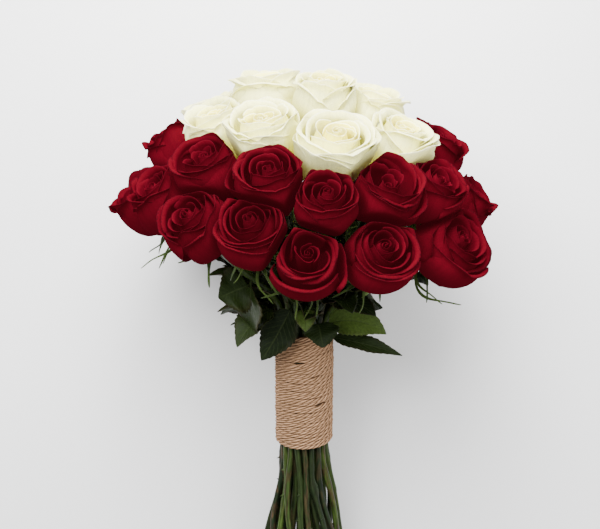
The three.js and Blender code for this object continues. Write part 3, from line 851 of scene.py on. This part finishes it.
def build_bloom(rose, number, name, groups, traits, material):
    draw = seeded(number + BLOOM_SEED)
    side = unit(np.cross([0, 0, 1], rose["axis"]))
    face = np.cross(rose["axis"], side)
    off_angle = next(draw) * 6.3
    off_axis = 0.8 + 1.6 * next(draw)
    off_way = np.array([math.cos(off_angle), math.sin(off_angle)])
    grids, tones = [], []
    for form in petal_forms(groups, traits, draw):
        sheet = petal(form, draw)
        across = sheet[..., :2] * rose["opened"] + (1 - form["outward"]) * off_axis * off_way
        points = rose["foot"] + across[..., :1] * side + across[..., 1:] * face
        points = points + sheet[..., 2:] * rose["axis"]
        grids.append(lay_down(pressed(points, rose)))
        tones.append((form["outward"], next(draw), next(draw)))
    bloom = mesh_of_grids(f"{name}_petals", grids, tones, material, thick=PETAL_THICKNESS)
    hand_over(bloom, name)


for number, rose in enumerate(ROSES):
    if rose["colour"] == "red":
        name = f"red_rose_{number + 1:02d}"
        traits = RED_TRAITS.get(number, {})
        build_bloom(rose, number, name, RED_PETALS, traits, red_petals)
    else:
        place = number - len(RED_SEATS)
        name = f"white_rose_{place + 1:02d}"
        traits = WHITE_TRAITS.get(place, {})
        build_bloom(rose, number, name, WHITE_PETALS, traits, white_petals)
print("blooms:", len(RED_SEATS), "red and", len(WHITE_SEATS), "cream")

# %% [markdown]
# ## The stems
#
# The stems stand in three rings inside the twine. Each place in the bundle gets the rose that lies the
# same way from the middle: places are exchanged for as long as that brings stems and roses more in line,
# which is what keeps thirty-six stems from running through each other.

# %% Places in the bundle
BUNDLE = [
    radius * round_the_bunch(360 * (i + turn) / count)
    for count, radius, turn in BUNDLE_RINGS
    for i in range(count)
]


def roses_for_places():
    chosen = list(range(len(ROSES)))
    flat = [rose["foot"][:2] for rose in ROSES]
    better = True
    while better:
        better = False
        for a in range(len(chosen)):
            for b in range(a + 1, len(chosen)):
                apart = BUNDLE[a][:2] - BUNDLE[b][:2]
                wanted = flat[chosen[a]] - flat[chosen[b]]
                if apart @ wanted < -1e-6:
                    chosen[a], chosen[b] = chosen[b], chosen[a]
                    better = True
    return chosen


CHOSEN = roses_for_places()
print("the innermost places carry roses", [number + 1 for number in CHOSEN[:6]])

# %% [markdown]
# Below the twine the bundle spreads again and turns a little, because the stems cross in the fist. Above
# the twine each stem leans out to its rose along one smooth curve.

# %% Where a stem runs
def below_wrap(place, height, sway):
    down = min(max((WRAP_BOTTOM - height) / WRAP_BOTTOM, 0), 1)
    eased = down * down * (3 - 2 * down) * 0.5 + down * 0.5
    x, y = place[:2] * (1 + SPLAY_AT_ENDS * eased)
    c, s = math.cos(TWIST_AT_ENDS * eased), math.sin(TWIST_AT_ENDS * eased)
    return np.array([x * c - y * s + sway[0] * eased, x * s + y * c + sway[1] * eased, height])


def on_curve(curve, share):
    return smooth_curve(np.asarray(share, float)[..., None], *curve)


reach = np.linalg.norm(below_wrap(BUNDLE[-1], 0, (0, 0))[:2])
print("the outer stems stand", round(float(reach), 1), "mm from the middle at their cut ends")

# %% [markdown]
# A tube follows a line of points. Its cross directions are turned as little as possible from one point to
# the next, so it doesn't twist. At each end one more ring, drawn together into a point, closes it.

# %% Tubes along a line
def steady_frames(line, first_side):
    side = np.array(first_side, float)
    frames = []
    for i in range(len(line)):
        along = unit(line[min(i + 1, len(line) - 1)] - line[max(i - 1, 0)])
        side = unit(side - along * (side @ along))
        frames.append((side, np.cross(side, along)))
    return frames


def tube(line, radii, first_side, sides=10):
    angles = np.arange(sides) / sides * 2 * math.pi
    rings = []
    for middle, radius, (side, face) in zip(line, radii, steady_frames(line, first_side)):
        rings.append(middle + radius * (np.cos(angles)[:, None] * side - np.sin(angles)[:, None] * face))
    first = np.repeat(line[0][None], sides, 0)
    last = np.repeat(line[-1][None], sides, 0)
    return np.stack([first, *rings, last])


post = tube(np.array([[0.0, 0, 0], [0, 0, 10]]), (1, 1), (1, 0, 0))
print("a tube between two points has", post.shape[0], "rings of", post.shape[1], "points")

# %% [markdown]
# A stem is one line from its cut end to its bloom: 25 points up to the twine, which wobble a little where
# the stem is free, 30 along the curve above it, and 5 in the hip.

# %% The line of a stem
LOW_POINTS = 25
HIGH_POINTS = 30
WOBBLE = 2.3


def stem_line(place, rose, number):
    draw = seeded(number + STEM_LINE_SEED)
    sway = ((next(draw) - 0.5) * 3, (next(draw) - 0.5) * 3)
    cut = next(draw) * UNEVEN_ENDS
    hip_end = rose["foot"] - rose["axis"] * GAP_UNDER_BLOOM
    hip_start = hip_end - rose["axis"] * HIP_LENGTH
    leaving = np.array([place[0], place[1], WRAP_TOP + 4])
    span = np.linalg.norm(hip_start - leaving)
    curve = (
        leaving,
        leaving + np.array([0, 0, span * 0.34]),
        hip_start - rose["axis"] * span * 0.36,
        hip_start,
    )
    low = [below_wrap(place, height, sway) for height in np.linspace(cut, WRAP_BOTTOM, LOW_POINTS)]
    beat = 0.03 + 0.03 * next(draw)
    phase = next(draw) * 6.3
    for spot in low:
        free = min((WRAP_BOTTOM - spot[2]) / 30, 1)
        spot[0] += WOBBLE * free * math.sin(spot[2] * beat + phase)
    high = list(on_curve(curve, np.linspace(0, 1, HIGH_POINTS)))
    hip = [hip_start + (hip_end - hip_start) * s for s in (0.2, 0.4, 0.6, 0.8, 1.0)]
    return np.array(low + high + hip), curve, hip_end


line, _, _ = stem_line(BUNDLE[0], ROSES[CHOSEN[0]], CHOSEN[0])
print("the first stem ends", round(float(line[-1][2])), "mm above the level of the cut ends")

# %% [markdown]
# Real rose stems aren't even: they thicken a little at each old leaf joint and carry a few thorns. The
# last five rings swell into the hip under the petals. No thorn grows under the twine, and only the
# stems of the outer ring have any, because the others are out of sight.

# %% Swellings and thorns
JOINTS = 8
THORNS = 4
THORN_LENGTH = 3.2
HIP_SHAPE = (1.05 * STEM_RADIUS, 0.82 * HIP_RADIUS, HIP_RADIUS, 1.02 * HIP_RADIUS, 0.84 * HIP_RADIUS)


def thorn(root, outward, along):
    line = [root + outward * t * THORN_LENGTH - along * 0.9 * t * t for t in np.linspace(0, 1, 5)]
    return tube(np.array(line), [1.5, 1.0, 0.6, 0.3, 0.05], along)


def stem_radii(line, draw):
    joints = [next(draw) * len(line) for _ in range(JOINTS)]
    radii = []
    for i in range(len(line)):
        swell = sum(math.exp(-(((i - joint) / 0.8) ** 2)) for joint in joints)
        radii.append(STEM_RADIUS * (0.95 - 0.1 * i / len(line)) * (1 + 0.26 * swell))
    radii[-5:] = HIP_SHAPE
    return radii


def thorns(line, outward, draw):
    for _ in range(THORNS):
        at = int(next(draw) * (len(line) - 12)) + 2
        along = unit(line[at + 1] - line[at - 1])
        around = turned(unit(outward - along * (outward @ along)), along, (next(draw) - 0.5) * 2.4)
        if not WRAP_BOTTOM - 6 < line[at][2] < WRAP_TOP + 8:
            yield thorn(line[at] + around * STEM_RADIUS * 0.7, around, along)


print("the hip is", 2 * HIP_RADIUS, "mm thick on a stem of", 2 * STEM_RADIUS, "mm")

# %% [markdown]
# Every stem keeps its line, its rose and its tone. Its sepals and leaves are added to it in the next
# steps, and only then do two stems and all that grows on them become objects.

# %% Build the stems
STEMS = []
for place_number, place in enumerate(BUNDLE):
    rose = ROSES[CHOSEN[place_number]]
    line, curve, hip_end = stem_line(place, rose, CHOSEN[place_number])
    draw = seeded(place_number + STEM_DETAIL_SEED)
    outward = unit([place[0], place[1], 0])
    tubes = [tube(line, stem_radii(line, draw), outward)]
    if place_number >= OUTER_RING_START:
        tubes += thorns(line, outward, draw)
    fresh = next(draw) ** 2.2
    brown = next(draw) ** 1.2
    STEMS.append(
        {
            "line": line, "curve": curve, "hip_end": hip_end, "outward": outward, "rose": rose,
            "number": CHOSEN[place_number], "tubes": [lay_down(grid) for grid in tubes],
            "tone": (fresh, brown, 0.5), "sheets": [], "sheet_tones": [],
        }
    )
longest = max(np.linalg.norm(np.diff(s["line"], axis=0), axis=1).sum() for s in STEMS)
print(len(STEMS), "stems, the longest", round(float(longest)), "mm")

# %% [markdown]
# ## Sepals
#
# Five sepals leave each hip. They are long narrow leaves that rise a little at first and then droop and
# sweep sideways, each in a curl of its own.

# %% Shape of a sepal
SEPAL_ROWS = 18
SEPAL_COLUMNS = 5
SEPAL_HALF_WIDTH = 2.7
SEPAL_TIP = 0.3
SEPAL_BELOW = 2.4
SEPAL_OFF_AXIS = 3.4


def sepal(root, away, axis, long, droop, draw):
    v = np.linspace(0, 1, SEPAL_ROWS)[:, None]
    u = np.linspace(-1, 1, SEPAL_COLUMNS)[None, :]
    side = unit(np.cross(away, axis))
    bend = next(draw) * 0.4
    sweep = (next(draw) - 0.5) * 1.5
    curl = (next(draw) - 0.4) * 0.7
    middle = root + (v * away + (0.3 * v - (0.3 + droop + bend) * v**2 + curl * v**4) * axis) * long
    middle = middle + side * long * sweep * v**2.2
    narrowing = (1 - v) ** 0.6 * (0.72 + 0.28 * np.cos(v * 11 + bend * 9))
    half = SEPAL_HALF_WIDTH * narrowing + SEPAL_TIP
    sheet = middle[:, None, :] + (half * u)[..., None] * side
    return sheet + (half * np.abs(u) * 0.5)[..., None] * axis


print("a sepal is up to", 2 * SEPAL_HALF_WIDTH, "mm wide and about", SEPAL_LENGTH, "mm long")

# %% [markdown]
# The five stand evenly round the hip, square to the bloom's axis at their roots. Each droops and grows by
# its own draw.

# %% Sepals on every hip
for stem in STEMS:
    draw = seeded(stem["number"] + SEPAL_SEED)
    side, face = steady_frames(stem["line"], stem["outward"])[-1]
    rose = stem["rose"]
    for i in range(SEPALS):
        angle = (i + 0.5) / SEPALS * 2 * math.pi
        away = side * math.cos(angle) - face * math.sin(angle)
        away = unit(away - rose["axis"] * (away @ rose["axis"]))
        droop = 0.1 + next(draw) * 0.22
        long = SEPAL_LENGTH * (0.8 + next(draw) * 0.45)
        root = stem["hip_end"] - rose["axis"] * SEPAL_BELOW + away * SEPAL_OFF_AXIS
        sheet = sepal(root, away, rose["axis"], long, droop, seeded(stem["number"] * 5 + i))
        stem["sheets"].append(lay_down(sheet))
        stem["sheet_tones"].append((0.35, 0.0, 0.5))
print("sepals:", sum(len(stem["sheets"]) for stem in STEMS))

# %% [markdown]
# A few sepals have come loose from under their bloom and show against the table in thin curls. Each is
# given as it looks from above: the index of its rose, the direction in which it leaves the hip (0 is
# right, 90 is towards the blooms), by how much it turns on its way, its length and its half width.

# %% Loose sepals
LOOSE_SEPALS = (
    (5, 256, -50, 54, 1.5), (5, 244, -10, 38, 1.1), (4, 232, -46, 34, 1.3), (1, 200, -60, 42, 1.3),
    (1, 216, 96, 46, 1.4), (1, 214, 20, 34, 1.6), (2, 284, -34, 36, 1.5), (3, 206, 160, 64, 1.4),
    (3, 218, 120, 46, 1.1), (0, 226, 50, 38, 1.3), (0, 316, -70, 36, 1.3), (6, 250, -30, 32, 1.1),
)
TO_THE_RIGHT = np.array([1.0, 0.0, 0.0])
TO_THE_TOP = np.array([0.0, math.sin(TILT), math.cos(TILT)])
TOWARDS_THE_EYE = np.cross(TO_THE_RIGHT, TO_THE_TOP)


def loose_sepal(root, direction, turn, long, half_width, draw):
    v = np.linspace(0, 1, SEPAL_ROWS)
    angle = np.radians(direction + turn * np.sqrt(v) + 14 * np.sin(v * 9 + next(draw) * 6.3))
    along = np.cos(angle)[:, None] * TO_THE_RIGHT + np.sin(angle)[:, None] * TO_THE_TOP
    along = along + (0.3 * np.cos(v * 4 + next(draw) * 2))[:, None] * TOWARDS_THE_EYE
    middle = root + np.cumsum(along, 0) * long / SEPAL_ROWS
    twist = (next(draw) - 0.5) * 3 * v
    flat = -np.sin(angle)[:, None] * TO_THE_RIGHT + np.cos(angle)[:, None] * TO_THE_TOP
    side = np.cos(twist)[:, None] * flat + np.sin(twist)[:, None] * TOWARDS_THE_EYE
    half = half_width * (1 - v) ** 0.6 * (0.75 + 0.25 * np.cos(v * 13)) + SEPAL_TIP
    across = half[:, None] * np.linspace(-1, 1, SEPAL_COLUMNS)[None, :]
    return middle[:, None, :] + across[..., None] * side[:, None, :]


for number, (rose_number, *form) in enumerate(LOOSE_SEPALS):
    stem = next(s for s in STEMS if s["number"] == rose_number)
    root = stem["hip_end"] - stem["rose"]["axis"] * SEPAL_BELOW
    stem["sheets"].append(lay_down(loose_sepal(root, *form, seeded(number + LOOSE_SEPAL_SEED))))
    stem["sheet_tones"].append((0.55, 0.2, 0.5))
print("loose sepals:", len(LOOSE_SEPALS))

# %% [markdown]
# ## Leaves
#
# A leaf has a stalk, a midrib with the blade folded up a little on both sides, and seven to eleven teeth
# down each edge. A tooth is a saw: it rises slowly and falls back at once, pointing to the tip. The sheet
# is laid row by row along the midrib, which bends down on its way: three rows for the stalk, and four for
# every tooth of the blade, so the teeth are real edges and not a picture of them.

# %% Shape of a leaf
LEAF_COLUMNS = 13
STALK_ROWS = 3
STALK_STEP = 3.0
TOOTH_DEPTH = 0.13


def leaf_sheet(start, azimuth, long, half_width, rise, bend, turn, draw, teeth=11, furl=0.8):
    outward, level = round_the_bunch(azimuth), round_the_bunch(azimuth + 90)
    rows = 4 * teeth + 1
    phase = next(draw) * 6.3
    curl = 0.5 + next(draw) * furl
    middle = np.array(start, float)
    sheet = []
    u = np.linspace(-1, 1, LEAF_COLUMNS)
    for i in range(rows + STALK_ROWS):
        share = max(i - STALK_ROWS, 0) / (rows - 1)
        angle = math.radians(rise - bend * share)
        along = outward * math.cos(angle) + np.array([0, 0, math.sin(angle)])
        side = turned(level, along, math.radians(turn) * min(i / 4, 1))
        up = np.cross(along, side)
        full = math.sin(math.pi * min(share, 0.9999) ** 0.7) ** 0.85
        saw = 1.0 + TOOTH_DEPTH * (((share * teeth) % 1.0) - 0.45)
        half = max(half_width * full * saw, 0.8 if i <= STALK_ROWS else 0.25)
        fold = np.abs(u) ** 1.3 * half * 0.26 * curl
        wave = np.sin(share * 13 + phase + u * 1.5) * np.abs(u) ** 1.5 * half * 0.12
        sheet.append(middle + (u * half)[:, None] * side + (fold + wave)[:, None] * up)
        middle = middle + along * (STALK_STEP if i < STALK_ROWS else long / (rows - 1))
    return np.stack(sheet)


trial = leaf_sheet((0, 0, 0), 0, 50, 15, 0, 0, 0, seeded(LEAF_SEED))
print("a leaf is a sheet of", trial.shape[0], "by", trial.shape[1], "points")

# %% [markdown]
# A leaf grows on the stem that lies its way, at its height. The ones listed in `FRESH_LEAVES` are a
# fresher green. The ones in `SHOWN_LEAVES` show at the front of the neck: their sheets are kept, so that
# no smaller leaf is put in front of them.

# %% Place the larger leaves
SHOWN_LEAVES = (0, 1, 2, 3, 4, 6)
FRESH_LEAVES = {1: 0.6, 5: 0.5, 7: 1.0}
ON_CURVE_STEP = 0.02


def carrier_of(height, azimuth, first=OUTER_RING_START):
    outward = round_the_bunch(azimuth)
    best = max(range(first, len(STEMS)), key=lambda i: STEMS[i]["outward"] @ outward)
    share = 0.0
    while share < 1 and on_curve(STEMS[best]["curve"], share)[2] < height:
        share += ON_CURVE_STEP
    return STEMS[best], on_curve(STEMS[best]["curve"], share)


def add_leaf(stem, sheet, tone):
    stem["sheets"].append(lay_down(sheet))
    stem["sheet_tones"].append(tone)


shown_sheets = []
for number, (height, azimuth, swing, *form) in enumerate(LEAVES):
    draw = seeded(number + LEAF_SEED)
    stem, start = carrier_of(height, azimuth)
    sheet = leaf_sheet(start, azimuth + swing, *form, draw)
    fresh = FRESH_LEAVES.get(number, 0.15 * next(draw))
    add_leaf(stem, sheet, (fresh, 0.5 * next(draw), 0.5))
    if number in SHOWN_LEAVES:
        shown_sheets.append(lay_down(sheet))
print("leaves that nothing may hide:", len(shown_sheets))

# %% [markdown]
# Between the large leaves there are many smaller ones. They close the neck above the twine and the dark
# gaps under the blooms, so no table shows through the head. A leaf that would grow into a bloom, or hide
# one of the large leaves that a florist turns to the front, is left out and the next draw is tried. High
# up they grow on any stem, and lower down only on the outer ones, where they have room.

# %% Smaller leaves in the gaps
SMALL_LEAVES = 215
MOST_TRIES = 1800
LOWEST_LEAF = 250
LEAF_CLIMB = 115
MIDDLE_RING_START = 6
MOST_INSIDE = 0.03
MOST_IN_FRONT = 0.15
DEPTH_BEHIND = 0.004


def hides_a_shown_leaf(sheet):
    spots = lay_down(sheet)
    for shown in shown_sheets:
        low, high = shown.min((0, 1)), shown.max((0, 1))
        beside = ((spots[..., :2] > low[:2]) & (spots[..., :2] < high[:2])).all(-1)
        in_front = spots[..., 2] > shown[..., 2].mean() - DEPTH_BEHIND
        if (beside & in_front).mean() > MOST_IN_FRONT:
            return True
    return False


placed = 0
number = 0
while placed < SMALL_LEAVES and number < MOST_TRIES:
    draw = seeded(number + SMALL_LEAF_SEED)
    azimuth = (number * GOLDEN_ANGLE) % 360 - 180
    climb = next(draw)
    height = LOWEST_LEAF + climb * LEAF_CLIMB
    first = 0 if climb > 0.5 else MIDDLE_RING_START if climb > 0.25 else OUTER_RING_START
    stem, start = carrier_of(height, azimuth, first)
    long = 22 + next(draw) * 22
    half_width = 8 + next(draw) * 7
    rise = 12 + 55 * climb + (next(draw) - 0.5) * 24
    turn = (next(draw) - 0.5) * 80
    swing = (next(draw) - 0.5) * 50
    sheet = leaf_sheet(start, azimuth + swing, long, half_width, rise, 30, turn, draw, 7, 2.4)
    number += 1
    if share_inside_blooms(sheet) > MOST_INSIDE or hides_a_shown_leaf(sheet):
        continue
    placed += 1
    add_leaf(stem, sheet, (0.25 * next(draw), next(draw), 0.5))
print("small leaves:", placed, "of", number, "tried")

# %% [markdown]
# The frame keeps the green parts of two neighbouring roses as one solid, so they are replaced two by
# two: one object for the stems and thorns, one for the leaves and sepals.

# %% Join the green parts, two roses at a time
BLADE_THICKNESS = 0.4

for i in range(0, len(STEMS), 2):
    pair = STEMS[i : i + 2]
    name = f"stems_and_leaves_{i // 2 + 1:02d}"
    tubes = [grid for stem in pair for grid in stem["tubes"]]
    tube_tones = [stem["tone"] for stem in pair for _ in stem["tubes"]]
    stems = mesh_of_grids(f"{name}_stems", tubes, tube_tones, stem_surface, tube=True)
    hand_over(stems, name)
    sheets = [grid for stem in pair for grid in stem["sheets"]]
    sheet_tones = [tone for stem in pair for tone in stem["sheet_tones"]]
    blades = mesh_of_grids(f"{name}_blades", sheets, sheet_tones, leaf_surface, thick=BLADE_THICKNESS)
    hand_over(blades, name)
print("pairs of stems:", len(STEMS) // 2)

# %% [markdown]
# ## The twine
#
# One jute cord goes round the stems some thirty times. It could be a stack of rings, but a real cord is
# one line that climbs by its own thickness in each turn, and that shows where it begins and ends. It
# starts at the back, so the start is out of sight. The turns aren't quite even: the line wanders up and
# down and in and out, sags at the front of the lowest turns, stands a little open in three places, and
# its last turns climb onto the foot of the spreading stems, where leaves cover them.

# %% A line that wanders
# Each has how many turns lie between two random values, and how large these may be.
UP_AND_DOWN = (0.27, 0.42)
SLOW_CLIMB = (2.3, 0.5)
IN_AND_OUT = (0.31, 0.28)
UNEVEN_TWIST = (0.23, 1.7)


def uneven_line(turn, seed, spacing, swing):
    """A smooth line through random heights, one every `spacing` turns."""
    draw = seeded(seed)
    knots = np.arange(-1, turn[-1] / spacing + 3) * spacing
    heights = np.array([(next(draw) - 0.5) * 2 * swing for _ in knots])
    share = turn / spacing + 1
    before = share.astype(int)
    ease = share - before
    ease = ease * ease * (3 - 2 * ease)
    return heights[before] * (1 - ease) + heights[before + 1] * ease


trial = uneven_line(np.linspace(0, 30, 1000), CORD_SEED, *UP_AND_DOWN)
print("the cord wanders between", round(float(trial.min()), 2), "and", round(float(trial.max()), 2), "mm")

# %% [markdown]
# A slack place is a pair of turns that move apart: it gives where on the cord the lower turn sinks, and
# where the upper one rises, by so many millimetres.

# %% The line of the cord
CORD_RADIUS = 1.65
LAY_LENGTH = 17.2
PLIES = 3
PLY_RADIUS = 0.85
PLY_OFFSET = 0.88
STEPS_PER_TURN = 180
TURNS_OVER_THE_TOP = 3
CORD_START = 2.2
SLACK_LENGTH = 0.03
SLACK_SPOTS = (
    (23.46, 1.2), (24.48, -1.2),
    (19.56, 1.0), (20.58, -1.0),
    (11.59, 1.4), (12.61, -1.4),
)
UP = np.array([0.0, 0.0, 1.0])


def cord_line(steps_per_turn, sunk, first_turn):
    covered = WRAP_TOP - WRAP_BOTTOM - 2 * CORD_RADIUS - CORD_START
    turns = covered / TWINE_PITCH + TURNS_OVER_THE_TOP - first_turn
    turn = first_turn + np.linspace(0, 1, int(turns * steps_per_turn)) * turns
    angle = (turn + 0.5) * math.tau
    wander = uneven_line(turn, CORD_SEED, *UP_AND_DOWN) + uneven_line(turn, CORD_SEED + 1, *SLOW_CLIMB)
    level = WRAP_BOTTOM + CORD_RADIUS + CORD_START + turn * TWINE_PITCH + wander
    level = level - 0.8 * np.exp(-turn / 4.5) * np.maximum(np.cos(angle), 0) ** 2
    for spot, slack in SLACK_SPOTS:
        level = level - slack * np.exp(-(((turn - spot) / SLACK_LENGTH) ** 2))
    swell = 0.5 * np.maximum(np.sin(angle + 0.4), 0) * np.exp(-(((turn - 21) / 3.5) ** 2))
    out = WRAP_RIDGE - CORD_RADIUS - sunk + uneven_line(turn, CORD_SEED + 2, *IN_AND_OUT) + swell
    radial = np.stack([np.sin(angle), -np.cos(angle), 0 * angle], -1)
    return angle, radial, radial * out[:, None] + level[:, None] * UP


angle, radial, cord = cord_line(STEPS_PER_TURN, 0.0, 0.0)
along_cord = angle * (WRAP_RIDGE - CORD_RADIUS)
print("turns of twine:", round(float(angle[-1]) / math.tau, 1), "length, mm:", round(float(along_cord[-1])))

# %% [markdown]
# Jute cord is laid from three plies that twist round each other, which gives the wrap its small slanted
# ridges. Each ply is a tube whose middle line circles the line of the cord about once in a lay length.
# Under this layer the cord has been round once already, and fills the chinks between the turns. That
# lower layer hardly shows, so it is one plain round cord. It follows the same line, a little deeper, and
# starts half a turn later.

# %% Twist the plies
PLY_SIDES = 8
LOWER_STEPS = 60
LOWER_LAYER_DEPTH = 2.2
LOWER_LAYER_START = 0.5


def round_tube(middle, radial, radius, sides):
    around = np.arange(sides) / sides * math.tau
    across = np.cos(around)[None, :, None] * radial[:, None, :] + np.sin(around)[None, :, None] * UP
    return middle[:, None, :] + radius * across, around


plies, ply_tones = [], []
for ply in range(PLIES):
    uneven = uneven_line(angle / math.tau, CORD_SEED + 3, *UNEVEN_TWIST)
    twist = along_cord / LAY_LENGTH * math.tau + ply / PLIES * math.tau + uneven
    middle = cord + PLY_OFFSET * (np.cos(twist)[:, None] * radial + np.sin(twist)[:, None] * UP)
    ring, around = round_tube(middle, radial, PLY_RADIUS, PLY_SIDES)
    crown = 0.5 + 0.5 * np.cos(around[None, :] - twist[:, None])
    plies.append(lay_down(ring))
    ply_tones.append(np.stack([0 * crown + 0.5, crown, 0 * crown + 0.5], -1))
_, radial, lower = cord_line(LOWER_STEPS, LOWER_LAYER_DEPTH, LOWER_LAYER_START)
ring, _ = round_tube(lower, radial, CORD_RADIUS, PLY_SIDES)
plies.append(lay_down(ring))
# The lower layer gets the dark colour of a pressed-in ply all over: painted shade in the chinks between the
# turns.
ply_tones.append((0.5, 0.1, 0.5))
wrap = mesh_of_grids("twine_plies", plies, ply_tones, twine_surface, tube=True)
hand_over(wrap, "twine_wrap")
print("the wrap has", len(wrap.data.polygons), "faces")

# %% [markdown]
# ## Table, light and camera
#
# The bunch lies on a plain pale table. The light is a studio's: a large soft box over the blooms, a
# second one at the side, a small one close to the crown of the head, and pale surroundings that fill the
# shadows.

# %% Table and surroundings
table_look = Group("table_look", (("Base Color", "Color"),))
shade = table_look.other(mottle, Patch_Scale=3.0, Speck_Scale=30.0, Depth=0.02)[0]
table_look.give(Base_Color=table_look.shaded((0.76, 0.76, 0.76), shade))

bpy.ops.mesh.primitive_plane_add(size=30.0, location=(0, 0, 0))
table = bpy.context.object
table.name = "table_top"
table.data.materials.append(surface("pale_table", table_look, Roughness=0.6))

world = bpy.data.worlds.new("studio")
bpy.context.scene.world = world
world.use_nodes = True
surroundings = world.node_tree.nodes["Background"]
surroundings.inputs["Color"].default_value = (0.97, 0.98, 1.0, 1.0)
surroundings.inputs["Strength"].default_value = 0.86
print("the table is", round(table.dimensions.x), "metres wide")

# %% [markdown]
# A soft box is a square area light. It is turned so that its face looks at the head of the bunch.

# %% Soft boxes
def soft_box(name, place, aim, size, power):
    data = bpy.data.lights.new(name, "AREA")
    data.shape, data.size, data.energy = "SQUARE", size, power
    lamp = bpy.data.objects.new(name, data)
    bpy.context.scene.collection.objects.link(lamp)
    lamp.location = place
    lamp.rotation_mode = "QUATERNION"
    lamp.rotation_quaternion = (Vector(aim) - Vector(place)).to_track_quat("-Z", "Y")


HEAD = (0, 0.12, 0.15)
soft_box("key_box", (-0.22, 0.56, 0.98), HEAD, 0.8, 42)
soft_box("side_box", (0.8, 0.3, 1.1), HEAD, 0.9, 13)
soft_box("crown_box", (0.05, 0.62, 0.42), (0, 0.19, 0.22), 0.35, 10)
print("lamps:", [lamp.name for lamp in bpy.data.lights])

# %% [markdown]
# The camera hangs straight over the bunch and looks down. Its place and its lens put the middle of the
# twine and the width of the head where they are in the photograph. `FOCAL_PIXELS` is the lens measured
# in pixels of a picture 600 pixels wide, and the camera wants it in millimetres of its sensor.

# %% Camera over the bunch
CAMERA_PLACE = (-0.0041, 0.06661, 1.5)
FOCAL_PIXELS = 1628.4
IMAGE_WIDTH = 600
camera_data = bpy.data.cameras.new("camera")
camera_data.sensor_fit = "HORIZONTAL"
camera_data.sensor_width = 36.0
camera_data.lens = camera_data.sensor_width * FOCAL_PIXELS / IMAGE_WIDTH
camera = bpy.data.objects.new("camera", camera_data)
camera.location = CAMERA_PLACE
bpy.context.scene.collection.objects.link(camera)
bpy.context.scene.camera = camera
print("lens, millimetres:", round(camera_data.lens, 1))

# %% [markdown]
